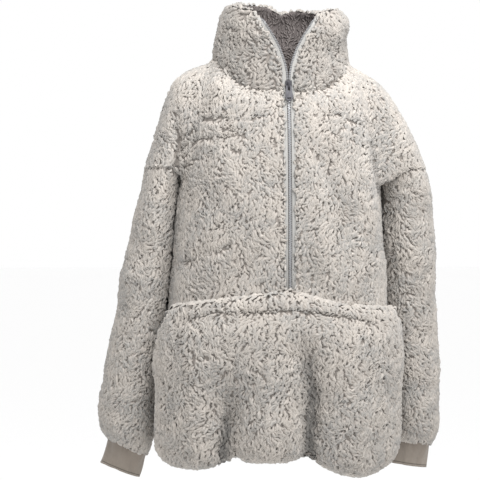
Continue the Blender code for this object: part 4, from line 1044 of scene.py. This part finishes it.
def rows_of(strip):
    """The points of a strip in rows of four, from its lowest up."""
    points = sorted(strip.verts, key=lambda v: v.co.z)
    return [points[i:i + 4] for i in range(0, len(points), 4)]


def middle_of(row):
    return sum((v.co for v in row), Vector()) / len(row)


def strip_line(node):
    """The middle of each row of a strip, and its way across to +X."""
    strip = welded(node)
    line = []
    for row in rows_of(strip):
        by_side = sorted((v.co for v in row), key=lambda p: p.x)
        across = (sum(by_side[2:], Vector()) - sum(by_side[:2], Vector())) / 2
        line.append((middle_of(row), across))
    strip.free()
    return line


def at_length(line, length):
    """The middle, the way across and the way up at a length along the strip."""
    for (a, wide_a), (b, wide_b) in zip(line, line[1:]):
        step = (b - a).length
        if length <= step:
            share = length / step
            return a.lerp(b, share), wide_a.lerp(wide_b, share), (b - a).normalized()
        length -= step
    return None


def tooth_pattern():
    """One moulded tooth: a block with rounded edges."""
    tooth = bmesh.new()
    bmesh.ops.create_cube(tooth, size=1.0)
    bmesh.ops.scale(tooth, verts=tooth.verts, vec=(TOOTH_WIDE, TOOTH_THICK, TOOTH_TALL))
    bmesh.ops.bevel(
        tooth, geom=tooth.edges[:], offset=TOOTH_EDGE, segments=1, profile=0.5, affect="EDGES",
        clamp_overlap=True, material=-1,
    )
    return tooth


def add_teeth(name, node, sides):
    """Teeth along a strip, one for each side at every pitch, the second side half a pitch up."""
    line = strip_line(node)
    length = sum((b[0] - a[0]).length for a, b in zip(line, line[1:]))
    made = bmesh.new()
    pattern = bpy.data.meshes.new(f"{name}_tooth")
    tooth = tooth_pattern()
    tooth.to_mesh(pattern)
    tooth.free()
    for offset, lag in sides:
        for number in range(int((length - TOOTH_PITCH) / TOOTH_PITCH)):
            place, wide, rise = at_length(line, TOOTH_PITCH * (number + FIRST_TOOTH + lag))
            across = wide.normalized()
            back = rise.cross(across).normalized()
            rise = across.cross(back)
            turn = Matrix((across, back, rise)).transposed().to_4x4()
            before = len(made.verts)
            made.from_mesh(pattern)
            made.verts.ensure_lookup_table()
            bmesh.ops.transform(
                made, matrix=Matrix.Translation(place + across * offset) @ turn, verts=made.verts[before:]
            )
    bpy.data.meshes.remove(pattern)
    piece = piece_of(name, made, silver)
    made.free()


def add_core(name, node):
    """The cord that carries the teeth: the node's strip, thinned about its middle."""
    made = welded(node)
    for row in rows_of(made):
        middle = middle_of(row)
        for vert in row:
            vert.co = middle.lerp(vert.co, CORD_SHARE)
    piece = piece_of(name, made, cord)
    made.free()
    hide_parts(node)


add_core("chain_cord", "zip_chain")
add_teeth("chain_teeth", "zip_chain", ((-MESHED_SHIFT, 0.0), (MESHED_SHIFT, 0.5)))
for side, shift in (("right", OPEN_SHIFT), ("left", -OPEN_SHIFT)):
    add_core(f"chain_cord_{side}", f"zip_chain_{side}")
    add_teeth(f"chain_teeth_{side}", f"zip_chain_{side}", ((shift, 0.0),))

# Slider and pull tab. Both are cast and plated in gunmetal, with rounded edges. The tab hangs on the
# lug of the slider and swings.
GUNMETAL = (0.048, 0.046, 0.054, 1.0)
SLIDER_EDGE = 0.0005
TAB_EDGE = 0.0003
gunmetal = metal_material("gunmetal", GUNMETAL, 0.48, 0.3)
hard_piece("slider", "zip_slider", gunmetal, SLIDER_EDGE, 2, "garment")
hard_piece("pull_tab", "zip_pull", gunmetal, TAB_EDGE, 2, "pull")

# Studio: a plain pale floor well below the garment, soft white light from all round, a broad lamp
# high in front on the wearer's left, and the camera a little to the wearer's right.
FLOOR_Z = -1.40
FLOOR_REACH = 60.0
floor = bmesh.new()
bmesh.ops.create_grid(floor, x_segments=1, y_segments=1, size=FLOOR_REACH)
bmesh.ops.translate(floor, verts=floor.verts, vec=(0, 0, FLOOR_Z))
floor_mesh = bpy.data.meshes.new("studio_floor")
floor.to_mesh(floor_mesh)
floor.free()
floor_look, _, _, floor_shader = new_material("studio_white", 0.9)
floor_shader.inputs["Base Color"].default_value = (0.98, 0.98, 0.98, 1.0)
floor_shader.inputs["Specular IOR Level"].default_value = 0.1
floor_mesh.materials.append(floor_look)
linked("studio_floor", floor_mesh)

world = bpy.data.worlds.new("studio")
world.use_nodes = True
surround = world.node_tree.nodes["Background"]
surround.inputs["Color"].default_value = (1.0, 1.0, 1.0, 1.0)
surround.inputs["Strength"].default_value = 1.0
bpy.context.scene.world = world

LAMP_PLACE = Vector((0.25, -0.92, 1.05))
LAMP_AIM = Vector((0, -0.1, -0.10))
LAMP_SIZE = 1.2
LAMP_WATTS = 43.0
lamp_data = bpy.data.lights.new("key", "AREA")
lamp_data.size = LAMP_SIZE
lamp_data.energy = LAMP_WATTS
lamp = linked("key", lamp_data)
lamp.location = LAMP_PLACE
lamp.rotation_euler = (LAMP_AIM - LAMP_PLACE).to_track_quat("-Z", "Y").to_euler()

CAMERA_TURN = math.radians(-7.0)
CAMERA_AIM = Vector((0, 0, -0.30))
CAMERA_DISTANCE = 2.8
PHOTO_SPAN = 0.84
SENSOR_WIDTH = 36.0
SHIFT_RIGHT = -0.0833
SHIFT_UP = -0.0012
camera_data = bpy.data.cameras.new("camera")
camera_data.sensor_width = SENSOR_WIDTH
camera_data.lens = SENSOR_WIDTH * CAMERA_DISTANCE / PHOTO_SPAN
camera_data.shift_x = SHIFT_RIGHT
camera_data.shift_y = SHIFT_UP
camera = linked("camera", camera_data)
camera.location = CAMERA_AIM + Vector((math.sin(CAMERA_TURN), -math.cos(CAMERA_TURN), 0)) * CAMERA_DISTANCE
camera.rotation_euler = (math.radians(90), 0, CAMERA_TURN)
bpy.context.scene.camera = camera
bpy.context.scene.view_settings.view_transform = "Standard"
